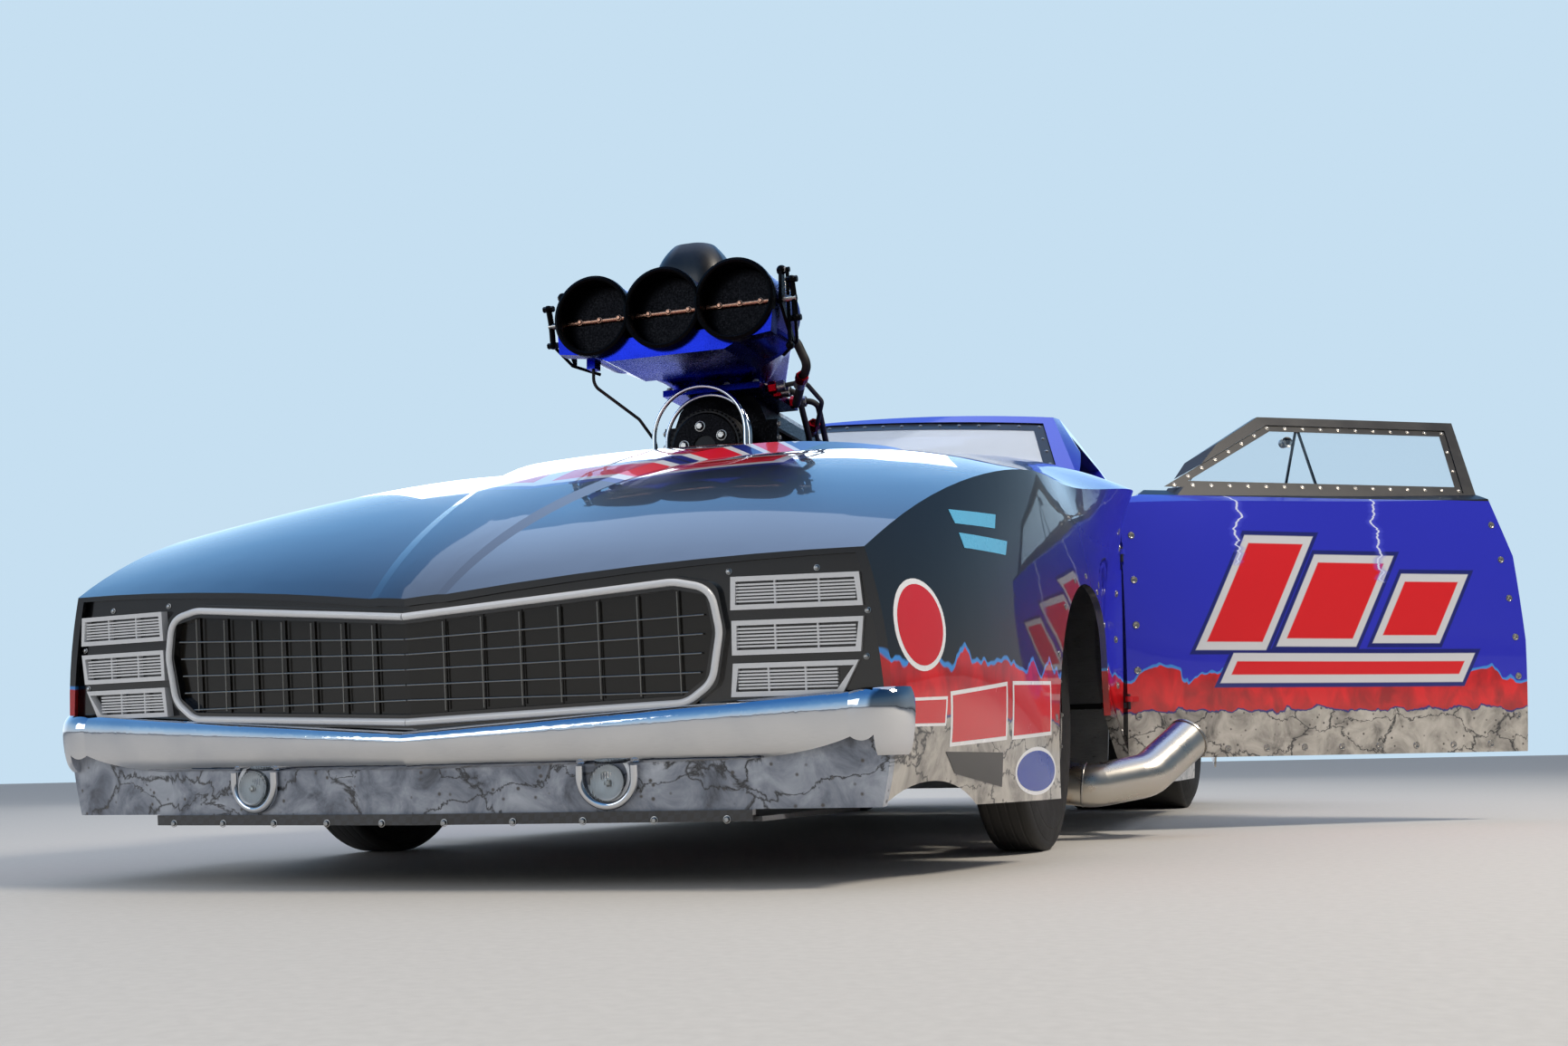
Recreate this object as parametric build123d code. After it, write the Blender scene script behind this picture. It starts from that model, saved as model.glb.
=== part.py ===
from build123d import *
import os
from collections import namedtuple
from math import cos, radians, sin, sqrt, tan

# Supercharged drag racing coupe with its driver's door open, in millimetres.
# Working frame: front axle line over y = 0, ground at z = 0, car's nose toward -Y,
# driver's (left) side toward +X. Each piece is moved to the part's own origin when saved.

# Driving sizes
WHEELBASE = 2920.0
NOSE_Y = -1177.0            # foremost point of the fascia, on the centreline
NOSE_SWEEP = 7.3            # degrees that each half of the fascia sweeps back
NOSE_LEAN = 0.10            # forward lean of the fascia per millimetre of height
TAIL_Y = 3860.0
CLIP_REAR_Y = 805.0         # rear edge of the removable front clip
PANEL_GAP = 6.0
SKIN = 14.0                 # body shell thickness
DOOR_SKIN = 45.0            # whole door thickness below the window
PILLAR = 30.0               # wall of roof and pillars
DOOR_FRAME_WALL = 22.0      # window frame of a door, inward
SEAT_GAP = 0.3              # clearance of a pane or panel in its opening

# Place of the part's origin: middle of the footprint with the driver's door open
ORIGIN_X = 410.0
ORIGIN_Y = 1779.0

# Wheels
FRONT_TYRE_R = 330.0
FRONT_TYRE_WIDTH = 115.0
FRONT_BULGE = 6.0
FRONT_BEAD_R = 195.0
FRONT_WHEEL_X = 797.0
REAR_TYRE_R = 438.0
REAR_TREAD_WIDTH = 432.0
REAR_BULGE = 32.0
REAR_BEAD_R = 212.0
REAR_WHEEL_X = 642.0
AXLE_END_X = 470.0
REAR_SHAFT_R = 24.0
KINGPIN_X = 660.0
SHOULDER = 14.0
RIM_WALL = 6.0
RIM_DISC_THICK = 12.0
BEAD_STEP = 12.0
LIP_HEIGHT = 9.0
LIP_THICK = 7.0
FRONT_CENTRE = (FRONT_WHEEL_X, 0, FRONT_TYRE_R)
REAR_CENTRE = (REAR_WHEEL_X, WHEELBASE, REAR_TYRE_R)
Rim = namedtuple("Rim", "bead_r bead_half disc_x windows hub_r hub_x0 hub_x1")
FRONT_RIM = Rim(FRONT_BEAD_R, 48, 20, 5, 46, -22, 40)
REAR_RIM = Rim(REAR_BEAD_R, 205, 60, 8, 70, 20, 130)

# Frame
RAIL_X = 330.0
RAIL_Z = 176.0
RAIL_R = 26.0
TUBE = 21.0                 # radius of the cage tubes
SILL_Z = 150.0
WELD = 2.0
UPPER_Z = 520.0

# Cabin
SEAT_X = 360.0
SHEET = 6.0
SHEET_ROOM = TUBE + WELD + SEAT_GAP
FLOOR_TOP_Z = SILL_Z - SHEET_ROOM
WALL_REAR_Y = 868 - SHEET_ROOM
WALL_TOP_Z = 955.0
BELL_R = 120.0

# Wheel arches
FRONT_ARCH_R = 375.0
FRONT_ARCH_Z = 190.0
FRONT_ARCH_DEPTH = 540.0
REAR_ARCH_R = 478.0
REAR_ARCH_Z = 300.0
REAR_ARCH_DEPTH = 640.0
ARCH_INNER_X = 560.0

# Doors
DOOR_OPEN_DEG = 56.0
HINGE_X = 924.0
HINGE_Y = 808.0
HINGE_HEIGHTS = [330.0, 720.0]
HINGE_PIN_R = 5.0
HINGE_EAR_R = 9.0
HINGE_HALF = 30.0           # half height of the pocket for a hinge ear in the front clip
DOOR_FRONT_Y = 811.0
DOOR_BOTTOM_Z = 190.0
BELT_REAR_Y = 1972.0
BELT_REAR_Z = 908.0
DOOR_REAR_Y = 2046.0

Station = namedtuple(
    "Station", "y z_low x_low x_mid z_mid x_crest z_crest x_foot z_foot rise x_top z_top z_ctr")

# Cross-sections of the lower body: sill, widest point, fender crest, foot and top of the
# raised hood centre, and the centreline height; rise is the crown between crest and foot
STATIONS = [
    Station(-1190, 118, 745, 752, 370, 740, 460, 70, 464, 4, 55, 466, 467),
    Station(-1079, 118, 772, 798, 370, 776, 532, 90, 552, 8, 70, 556, 558),
    Station(-920, 118, 805, 852, 370, 810, 612, 120, 643, 12, 95, 650, 652),
    Station(-560, 118, 905, 920, 380, 882, 728, 200, 788, 20, 170, 800, 806),
    Station(-200, 118, 950, 956, 420, 908, 778, 300, 872, 32, 255, 900, 908),
    Station(280, 118, 940, 948, 450, 922, 822, 390, 940, 42, 335, 985, 992),
    Station(811, 112, 893, 920, 500, 921, 868, 430, 1005, 52, 385, 1040, 1044),
]
REAR_STATIONS = [
    STATIONS[-1],
    Station(1450, 112, 890, 916, 500, 912, 888, 430, 985, 40, 385, 1000, 1004),
    Station(2046, 112, 895, 925, 500, 912, 910, 430, 975, 30, 385, 982, 985),
    Station(2500, 118, 925, 955, 480, 928, 934, 430, 972, 22, 385, 974, 980),
    Station(2920, 130, 945, 968, 480, 940, 948, 430, 975, 18, 385, 977, 982),
    Station(3400, 150, 925, 950, 500, 915, 942, 430, 962, 16, 385, 964, 970),
    Station(TAIL_Y, 235, 865, 900, 560, 862, 918, 430, 935, 14, 385, 937, 942),
]

# Greenhouse outline, corner by corner: place at the base height and at the top height
Corner = namedtuple("Corner", "x_base y_base x_top y_top")
CABIN_BASE_Z = 862.0
CABIN_TOP_Z = 1300.0
WIND_CENTRE = Corner(0, 619, 0, 1288)
WIND_CORNER = Corner(841, 886, 640, 1393)
A_PILLAR = Corner(904, 964, 640, 1450)
C_PILLAR = Corner(889, 2560, 628, 2060)
BACK_CORNER = Corner(770, 2700, 560, 2000)
BACK_CENTRE = Corner(0, 2757, 0, 2035)
ROOF_Z = 1285.0
ROOF_CREST_Y = 1700.0
ROOF_CROWN_R = 6000.0
ROOF_ARCH_R = 3300.0
ROOF_HALF = 1500.0          # reach of the roof's arc each way from its crest
ROOF_SWING = 30.0           # degrees of the roof's crown across the car


def box(x0, x1, y0, y1, z0, z1):
    return Solid.make_box(x1 - x0, y1 - y0, z1 - z0, Plane((x0, y0, z0)))


def rod(p, q, r):
    p, q = Vector(*p), Vector(*q)
    return Solid.make_cylinder(r, (q - p).length, Plane(p, z_dir=q - p))


def seat_rod(p, q, r):
    # The room that a tube takes, with the gap in which a piece is seated on it
    return rod(p, q, r + SEAT_GAP)


def ball(p, r, axis=(0, 0, 1)):
    return Solid.make_sphere(r, Plane(p, z_dir=axis), angle1=-90, angle2=90, angle3=360)


def prism(points, plane, depth):
    face = Face(Wire.make_polygon([plane.from_local_coords(p) for p in points], close=True))
    return Solid.extrude(face, plane.z_dir * depth)


def prism_x(points_yz, x0, x1):
    plane = Plane((x0, 0, 0), x_dir=(0, 1, 0), z_dir=(1, 0, 0))
    return prism([(y, z, 0) for y, z in points_yz], plane, x1 - x0)


def prism_y(points_xz, y0, y1):
    plane = Plane((0, y0, 0), x_dir=(1, 0, 0), z_dir=(0, -1, 0))
    return prism([(x, z, 0) for x, z in points_xz], plane, y0 - y1)


def drum_x(centre, r, length):
    return Solid.make_cylinder(r, length, Plane(centre, z_dir=(1, 0, 0)))


def drum_y(centre, r, length):
    return Solid.make_cylinder(r, length, Plane(centre, z_dir=(0, 1, 0)))


def mirrored(shape):
    return shape.mirror(Plane.YZ)


def both(shape):
    return Compound([shape, mirrored(shape)])


def joined(shapes):
    first, *rest = shapes
    return first.fuse(*rest) if rest else first


def largest(shape):
    return max(shape.solids(), key=lambda s: s.volume)


def bent_tube(points, radii, r):
    path = FilletPolyline(*points, radius=radii)
    start = Plane(path @ 0, z_dir=path % 0)
    return sweep(start * Circle(r), path=path)


def save(node, shape):
    placed = shape.moved(Location((-ORIGIN_X, -ORIGIN_Y, 0)))
    export_step(placed, f"parts/{node}.step")


# Body surfaces

def body_face(row, inset, drop):
    low = (row.x_low - inset, row.z_low - drop)
    mid = (row.x_mid - inset, row.z_mid)
    crest = (row.x_crest - inset, row.z_crest - 0.6 * inset)
    foot = (row.x_foot - 0.3 * inset, row.z_foot - inset)
    top = (row.x_top - 0.6 * inset, row.z_top - inset)
    crown = ((crest[0] + foot[0]) / 2, (crest[1] + foot[1]) / 2 + row.rise)
    edges = [Edge.make_line((-low[0], row.y, low[1]), (low[0], row.y, low[1]))]
    half = [(low, mid, crest), (crest, crown, foot), (foot, None, top)]
    for a, via, b in half:
        edges.append(arc_or_line(a, via, b, row.y))
    edges.append(arc_or_line(top, (0, row.z_ctr - inset), (-top[0], top[1]), row.y))
    for a, via, b in reversed(half):
        edges.append(arc_or_line(flip(b), flip(via), flip(a), row.y))
    return Face(Wire(edges))


def flip(p):
    return None if p is None else (-p[0], *p[1:])


def arc_or_line(a, via, b, y):
    if via is None:
        return Edge.make_line((a[0], y, a[1]), (b[0], y, b[1]))
    return Edge.make_three_point_arc((a[0], y, a[1]), (via[0], y, via[1]), (b[0], y, b[1]))


def body_volume(rows, inset=0.0, drop=0.0):
    return loft([body_face(row, inset, drop) for row in rows])


def cabin_outline(z, inset):
    t = (z - CABIN_BASE_Z) / (CABIN_TOP_Z - CABIN_BASE_Z)

    def place(corner, dx, dy):
        x = corner.x_base + (corner.x_top - corner.x_base) * t - dx * inset
        y = corner.y_base + (corner.y_top - corner.y_base) * t + dy * inset
        return (x, y)

    front, corner = place(WIND_CENTRE, 0, 1.8), place(WIND_CORNER, 1.2, 1.6)
    a_side, c_side = place(A_PILLAR, 1.2, 1.2), place(C_PILLAR, 1.2, -1.2)
    back, centre = place(BACK_CORNER, 1.2, -1.8), place(BACK_CENTRE, 0, -1.8)

    def line(p, q):
        return Edge.make_line((*p, z), (*q, z))

    def arc(p, via, q):
        return Edge.make_three_point_arc((*p, z), (*via, z), (*q, z))

    return Face(Wire([
        arc(flip(corner), front, corner), line(corner, a_side), line(a_side, c_side), line(c_side, back),
        arc(back, centre, flip(back)), line(flip(back), flip(c_side)), line(flip(c_side), flip(a_side)),
        line(flip(a_side), flip(corner))]))


def roof_barrel(inset):
    top = ROOF_Z - inset
    axis_z = ROOF_Z - ROOF_CROWN_R
    sag = ROOF_ARCH_R - sqrt(ROOF_ARCH_R ** 2 - ROOF_HALF ** 2)
    y0, y1 = ROOF_CREST_Y - ROOF_HALF, ROOF_CREST_Y + ROOF_HALF
    arc = Edge.make_three_point_arc((0, y0, top - sag), (0, ROOF_CREST_Y, top), (0, y1, top - sag))
    face = Face(Wire([
        arc, Edge.make_line((0, y1, top - sag), (0, y1, axis_z)),
        Edge.make_line((0, y1, axis_z), (0, y0, axis_z)),
        Edge.make_line((0, y0, axis_z), (0, y0, top - sag))]))
    crown_axis = Axis((0, 0, axis_z), (0, 1, 0))
    return Solid.revolve(face.rotate(crown_axis, -ROOF_SWING / 2), ROOF_SWING, crown_axis)


def cabin_volume(inset=0.0, base_z=CABIN_BASE_Z):
    walls = loft([cabin_outline(base_z, inset), cabin_outline(CABIN_TOP_Z, inset)], ruled=True)
    return walls & roof_barrel(inset)


# Front clip and fascia
FASCIA_REF_Z = 460.0
FASCIA_WIDE = 1100.0
VALANCE_TOP_Z = 238.0
VALANCE_BOTTOM_Z = 122.0
VALANCE_THICK = 14.0
PANEL_RECESS = 12.0
PANEL_THICK = 10.0
NOSE_PANEL_BOTTOM_Z = 244.0
NOSE_PANEL_TOP_Z = 620.0

# Blower opening in the hood: belt slot, then the wide part round the blower case
SLOT_HALF = 104.0
SLOT_Y0 = 140.0
WELL_HALF = 200.0
WELL_Y0 = 240.0
WELL_Y1 = 790.0

# Notch behind the front arch that lets the exhaust out
EXHAUST_NOTCH_Y1 = 640.0
EXHAUST_NOTCH_Z = 292.0
EXHAUST_NOTCH_Y0 = 300.0
EXHAUST_NOTCH_X = 600.0


def fascia_plane(forward=0.0):
    a = radians(NOSE_SWEEP)
    ahead = (sin(a), -cos(a), -cos(a) * NOSE_LEAN)
    return Plane((0, NOSE_Y, FASCIA_REF_Z), x_dir=(cos(a), sin(a), 0), z_dir=ahead).offset(forward)


def fascia_plate(outline, w0, w1):
    # outline holds (u, z): distance out from the centreline along the fascia, and height
    half = prism([(u, z - FASCIA_REF_Z, 0) for u, z in outline], fascia_plane(w0), w1 - w0)
    half = half & box(0, 1300, -2500, 2500, -500, 2500)
    return half


def fascia_both(outline, w0, w1):
    half = fascia_plate(outline, w0, w1)
    return half + mirrored(half)


def fascia_rect(u1, z0, z1, w0, w1):
    return fascia_both([(-60, z0), (u1, z0), (u1, z1), (-60, z1)], w0, w1)


def in_front_of_fascia(w):
    return fascia_rect(FASCIA_WIDE, -200, 900, w, w + 300)


def front_arches():
    tool = drum_x((ARCH_INNER_X, 0, FRONT_ARCH_Z), FRONT_ARCH_R, FRONT_ARCH_DEPTH)
    return tool + mirrored(tool)


def front_clip():
    shell = body_volume(STATIONS) - body_volume(STATIONS, SKIN, 60)
    shell = shell - in_front_of_fascia(0.0)
    shell = shell - fascia_rect(FASCIA_WIDE, -200, VALANCE_TOP_Z, -VALANCE_THICK, 300)
    shell = shell - front_arches()
    shell = shell - box(-1200, 1200, CLIP_REAR_Y, CLIP_REAR_Y + 300, 0, 1500)
    shell = shell - box(-SLOT_HALF, SLOT_HALF, SLOT_Y0, WELL_Y1, 700, 1300)
    shell = shell - box(-WELL_HALF, WELL_HALF, WELL_Y0, WELL_Y1, 700, 1300)
    notch = box(EXHAUST_NOTCH_X, 1200, EXHAUST_NOTCH_Y0, EXHAUST_NOTCH_Y1, 0, EXHAUST_NOTCH_Z)
    shell = shell - notch - mirrored(notch)
    for z in HINGE_HEIGHTS:
        foot = Plane((HINGE_X, HINGE_Y, z - HINGE_HALF - 5))
        recess = Solid.make_cylinder(HINGE_EAR_R + 5, 2 * HINGE_HALF + 10, foot)
        shell = shell - recess - mirrored(recess)
    return shell


def nose_panel():
    inner = body_volume(STATIONS, SKIN + SEAT_GAP, 60)
    back = -PANEL_RECESS - PANEL_THICK
    return inner & fascia_rect(FASCIA_WIDE, NOSE_PANEL_BOTTOM_Z, NOSE_PANEL_TOP_Z, back, -PANEL_RECESS)


def front_valance():
    slab = fascia_rect(FASCIA_WIDE, VALANCE_BOTTOM_Z, VALANCE_TOP_Z, -VALANCE_THICK + SEAT_GAP, 0)
    return slab & body_volume(STATIONS)


SPLITTER_U = 585.0
SPLITTER_Z0 = 104.0
SPLITTER_REAR_Y = -520.0
SPLITTER_THICK = 8.0
SPLITTER_PROUD = 8.0


def splitter():
    lip = fascia_rect(SPLITTER_U, SPLITTER_Z0, VALANCE_BOTTOM_Z, -VALANCE_THICK, SPLITTER_PROUD)
    tray = box(-SPLITTER_U, SPLITTER_U, -1300, SPLITTER_REAR_Y, SPLITTER_Z0, SPLITTER_Z0 + SPLITTER_THICK)
    return lip + (tray - in_front_of_fascia(-VALANCE_THICK + 1))


# Grille
RING_BAND = 22.0
RING_FRONT = 6.0
RING_OUTLINE = [(0, 458), (470, 496), (540, 482), (553, 404), (536, 318), (486, 282), (0, 263)]
GRILLE_THICK = 5.0
GRID_RISE = 3.0
GRID_BAR = 2.5
GRID_ROWS = 5
GRID_COLUMNS = 7
GRID_WIDE = 540.0
RING_CORNER_R = 26.0


def rounded_plate(outline, w0, w1, radius, inset=0.0):
    flat = Polyline(*[(u, z - FASCIA_REF_Z) for u, z in outline], close=True)
    sketch = make_face(flat)
    sketch = fillet([v for v in sketch.vertices() if v.X > 30], radius)
    if inset:
        sketch = offset(sketch, amount=-inset, kind=Kind.INTERSECTION)
    solid = extrude(fascia_plane(w0) * sketch, amount=w1 - w0)
    return solid & box(0, 1300, -2500, 2500, -500, 2500)


def ring_outline():
    # The top and bottom edges run on past the centreline, where the half is cut off
    return [(-90, RING_OUTLINE[0][1] - 8), *RING_OUTLINE, (-90, RING_OUTLINE[-1][1] + 2)]


def grille_ring():
    outer = rounded_plate(ring_outline(), -PANEL_RECESS, RING_FRONT, RING_CORNER_R)
    inner = rounded_plate(ring_outline(), -PANEL_RECESS - 1, RING_FRONT + 1, RING_CORNER_R, RING_BAND)
    half = outer - inner
    return half + mirrored(half)


def grille_panel():
    face = -PANEL_RECESS + GRILLE_THICK
    inset = RING_BAND + SEAT_GAP
    back = rounded_plate(ring_outline(), -PANEL_RECESS, face, RING_CORNER_R, inset)
    bars = []
    low, high = RING_OUTLINE[-1][1] + RING_BAND, RING_OUTLINE[0][1] - RING_BAND
    for n in range(1, GRID_ROWS + 1):
        t = n / (GRID_ROWS + 1)
        z0 = low + (high - low) * t
        z1 = z0 + 36 * t - 8
        bars.append(fascia_plate([(-20, z0 - 2), (560, z1), (560, z1 + GRID_BAR), (-20, z0 - 2 + GRID_BAR)],
                                 face, face + GRID_RISE))
    for n in range(1, GRID_COLUMNS + 1):
        u = GRID_WIDE * n / (GRID_COLUMNS + 1)
        bars.append(fascia_plate([(u, 200), (u + GRID_BAR, 200), (u + GRID_BAR, 520), (u, 520)],
                                 face, face + GRID_RISE))
    window = rounded_plate(ring_outline(), -PANEL_RECESS, 20, RING_CORNER_R, inset)
    half = joined([back, *[bar & window for bar in bars]])
    return half + mirrored(half)


# Slatted headlight covers: bottom and top height, then inner and outer edge at bottom and top
Cover = namedtuple("Cover", "z0 z1 u_in0 u_in1 u_out0 u_out1")
COVERS = [Cover(437, 490, 560, 562, 774, 770), Cover(365, 420, 560, 561, 768, 774),
          Cover(299, 352, 556, 561, 736, 764)]
COVER_RIM = 8.0
COVER_DEPTH = 14.0
SLATS = 6
SLAT_BAR = 3.0


def cover_half(c):
    w0, w1 = -PANEL_RECESS, -PANEL_RECESS + COVER_DEPTH
    whole = fascia_plate([(c.u_in0, c.z0), (c.u_out0, c.z0), (c.u_out1, c.z1), (c.u_in1, c.z1)], w0, w1)
    r = COVER_RIM
    hole = fascia_plate([(c.u_in0 + r, c.z0 + r), (c.u_out0 - r, c.z0 + r), (c.u_out1 - r, c.z1 - r),
                         (c.u_in1 + r, c.z1 - r)], w0 - 1, w1 + 1)
    frame = whole - hole
    bars = []
    pitch = (c.z1 - c.z0 - 2 * r) / (SLATS + 1)
    for n in range(1, SLATS + 1):
        z = c.z0 + r + pitch * n - SLAT_BAR / 2
        u0, u1 = max(c.u_in0, c.u_in1) + r - 1, min(c.u_out0, c.u_out1) - r + 1
        bars.append(fascia_plate([(u0, z), (u1, z), (u1, z + SLAT_BAR), (u0, z + SLAT_BAR)], w0, w1 - 3))
    for t in (1 / 3, 2 / 3):
        u = c.u_in0 + (c.u_out0 - c.u_in0) * t
        bars.append(fascia_plate([(u, c.z0 + r - 1), (u + SLAT_BAR, c.z0 + r - 1),
                                  (u + SLAT_BAR, c.z1 - r + 1), (u, c.z1 - r + 1)], w0, w1 - 4))
    return joined([frame, *bars])


def headlight_covers():
    left = [cover_half(c) for c in COVERS]
    return Compound(left + [mirrored(s) for s in left])


# Front bumper: height at the centre, rise towards the corner, and how far it stands out
Level = namedtuple("Level", "z rise out")
BUMPER_LEVELS = [
    Level(196, 8, 3), Level(206, 14, 17), Level(226, 30, 27), Level(246, 44, 28), Level(258, 52, 15)]
BUMPER_CORNER_X = 742.0
BUMPER_SIDE_X = 818.0
BUMPER_TIP_Y = -1000.0


def bumper_plan(level):
    lean = NOSE_LEAN * (FASCIA_REF_Z - level.z)
    y0 = NOSE_Y + lean - level.out
    corner = (BUMPER_CORNER_X, y0 + BUMPER_CORNER_X * tan(radians(NOSE_SWEEP)))
    side = (BUMPER_SIDE_X + 0.5 * level.out, BUMPER_TIP_Y - 20)
    via = (corner[0] + 0.80 * (side[0] - corner[0]), corner[1] + 0.34 * (side[1] - corner[1]))
    tip = (side[0] - 6, BUMPER_TIP_Y)

    def at(p):
        return (p[0], p[1], level.z + level.rise * p[0] / BUMPER_SIDE_X)

    return Face(Wire([
        Edge.make_line(at((0, y0)), at(corner)), Edge.make_three_point_arc(at(corner), at(via), at(side)),
        Edge.make_line(at(side), at(tip)), Edge.make_line(at(tip), at((0, BUMPER_TIP_Y))),
        Edge.make_line(at((0, BUMPER_TIP_Y)), at((0, y0)))]))


def front_bumper():
    bar = loft([bumper_plan(level) for level in BUMPER_LEVELS])
    keep_out = body_volume(STATIONS, -SEAT_GAP) - in_front_of_fascia(SEAT_GAP)
    bar = bar - keep_out - box(-10, 780, -1080, BUMPER_TIP_Y + 50, 0, 600)
    seat_ring = rounded_plate(
        ring_outline(), -PANEL_RECESS - 1, RING_FRONT + SEAT_GAP, RING_CORNER_R, -SEAT_GAP)
    bar = largest(bar - seat_ring)
    return bar + mirrored(bar)


# Turn signals
SIGNAL_U = 346.0
SIGNAL_Z = 177.0
SIGNAL_TOP_Z = 196.0
SIGNAL_RING_R = 46.0
SIGNAL_TUBE_R = 7.0
SIGNAL_LENS_R = 30.0
SIGNAL_LENS_Z = 168.0
SIGNAL_LENS_DEPTH = 14.0


def signal_ring():
    plane = fascia_plane(SIGNAL_TUBE_R + SEAT_GAP)
    v = SIGNAL_Z - FASCIA_REF_Z
    top = SIGNAL_TOP_Z - FASCIA_REF_Z
    a, b = SIGNAL_U - SIGNAL_RING_R, SIGNAL_U + SIGNAL_RING_R
    path = Wire([
        Edge.make_line(plane.from_local_coords((a, top, 0)), plane.from_local_coords((a, v, 0))),
        Edge.make_three_point_arc(plane.from_local_coords((a, v, 0)),
                                  plane.from_local_coords((SIGNAL_U, v - SIGNAL_RING_R, 0)),
                                  plane.from_local_coords((b, v, 0))),
        Edge.make_line(plane.from_local_coords((b, v, 0)), plane.from_local_coords((b, top, 0)))])
    start = Plane(path @ 0, z_dir=path % 0)
    return sweep(start * Circle(SIGNAL_TUBE_R), path=path)


def turn_signal_rings():
    return both(signal_ring().solids()[0])


def turn_signal_lenses():
    spot = fascia_plane(SEAT_GAP).from_local_coords((SIGNAL_U, SIGNAL_LENS_Z - FASCIA_REF_Z, 0))
    lens = Solid.make_cylinder(SIGNAL_LENS_R, SIGNAL_LENS_DEPTH, Plane(spot, z_dir=fascia_plane().z_dir))
    return both(lens)


# Hoops over the blower belt: y, radius, height of the apex
HOOPS = [(118, 122, 1126), (176, 112, 1116)]
HOOP_TUBE_R = 5.5


def hoop(y, radius, apex):
    foot_z = apex - radius - 60
    a, b = (-radius, y, foot_z), (radius, y, foot_z)
    springs = apex - radius
    path = Wire([Edge.make_line(a, (-radius, y, springs)),
                 Edge.make_three_point_arc((-radius, y, springs), (0, y, apex), (radius, y, springs)),
                 Edge.make_line((radius, y, springs), b)])
    return sweep(Plane(path @ 0, z_dir=path % 0) * Circle(HOOP_TUBE_R), path=path).solids()[0]


def hood_hoops():
    # Each foot ends on the outer face of the hood
    hood = body_volume(STATIONS, -SEAT_GAP)
    hoops = [hoop(*row) - hood for row in HOOPS]
    return Compound([s for h in hoops for s in h.solids()])


# Engine, blower and injector
ENGINE_Y0 = 240.0
ENGINE_Y1 = 790.0
CRANK_Z = 340.0
MANIFOLD_TOP_Z = 868.0
BLOWER_HALF = 140.0
BLOWER_Y0 = 258.0
BLOWER_Y1 = 770.0
BLOWER_TOP_Z = 1128.0
FLANGE_HALF = 132.0
FLANGE_Y0 = 196.0
FLANGE_Y1 = 490.0
FLANGE_THICK = 16.0
PULLEY_R = 92.0
PULLEY_Z = 978.0
CRANK_PULLEY_R = 84.0
BELT_Y0 = 152.0
BELT_Y1 = 226.0
BELT_THICK = 6.0
HUB_THICK = 4.0
CASE_RIBS = 6
SNOUT_R = 58.0


def engine_block():
    right = [(150, 262), (172, 430), (318, 620), (236, 742), (132, 760), (132, MANIFOLD_TOP_Z)]
    section = right + [(-x, z) for x, z in reversed(right)]
    mount = box(200, RAIL_X - TUBE - SEAT_GAP, 400, 460, UPPER_Z - 10, UPPER_Z + 10)
    return joined([prism_y(section, ENGINE_Y0, ENGINE_Y1), mount, mirrored(mount)])


def blower():
    w, z0, z1 = BLOWER_HALF, MANIFOLD_TOP_Z, BLOWER_TOP_Z
    right = [(w, z0), (w, z0 + 150), (w - 30, z1 - 30), (w - 60, z1)]
    case = prism_y(right + [(-x, z) for x, z in reversed(right)], BLOWER_Y0, BLOWER_Y1)
    ribs = []
    for n in range(CASE_RIBS):
        z = z0 + 24 + 28 * n
        ribs.append(box(-w - 9, w + 9, BLOWER_Y0 + 30, BLOWER_Y1 - 30, z, z + 8))
    for y in (BLOWER_Y0, BLOWER_Y1 - 16):
        ribs.append(box(-w - 14, w + 14, y, y + 16, z0, z0 + 190))
    snout_y = BELT_Y1 + HUB_THICK
    snout = drum_y((0, snout_y, PULLEY_Z), SNOUT_R, BLOWER_Y0 - snout_y)
    return joined([case, *ribs, snout])


def belt_drive():
    top = drum_y((0, BELT_Y0, PULLEY_Z), PULLEY_R, BELT_Y1 - BELT_Y0)
    low = drum_y((0, BELT_Y0, CRANK_Z), CRANK_PULLEY_R, ENGINE_Y0 - BELT_Y0)
    hub = drum_y((0, BELT_Y1, PULLEY_Z), 40, HUB_THICK)
    r0, r1 = CRANK_PULLEY_R, PULLEY_R
    outer = [(-r0 - BELT_THICK, CRANK_Z), (r0 + BELT_THICK, CRANK_Z), (r1 + BELT_THICK, PULLEY_Z),
             (-r1 - BELT_THICK, PULLEY_Z)]
    inner = [(-r0, CRANK_Z), (r0, CRANK_Z), (r1, PULLEY_Z), (-r1, PULLEY_Z)]
    y0, y1 = BELT_Y0 + 6, BELT_Y1 - 6
    runs = prism_y(outer, y0, y1) - prism_y(inner, y0 - 1, y1 + 1)
    ends = []
    for r, z in ((r0, CRANK_Z), (r1, PULLEY_Z)):
        ends.append(drum_y((0, y0, z), r + BELT_THICK, y1 - y0))
    return joined([top, low, hub, runs, *ends])


THROAT_PITCH = 183.0
THROAT_Y = -104.0
THROAT_Z = 1268.0
THROAT_R = 88.0
THROAT_WALL = 9.0
THROAT_DEPTH = 170.0
PLENUM_Y = 70.0
COVER_TOP_Z = 1476.0
THROTTLE_Y = -60.0
THROTTLE_SHAFT_R = 6.0
BLADE_THICK = 4.0
LINK_X = 292.0
CABLE_X = -222.0
CABLE_Z = 1158.0


def throat(n, r, y0, length):
    return drum_y((n * THROAT_PITCH, y0, THROAT_Z), r, length)


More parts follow.
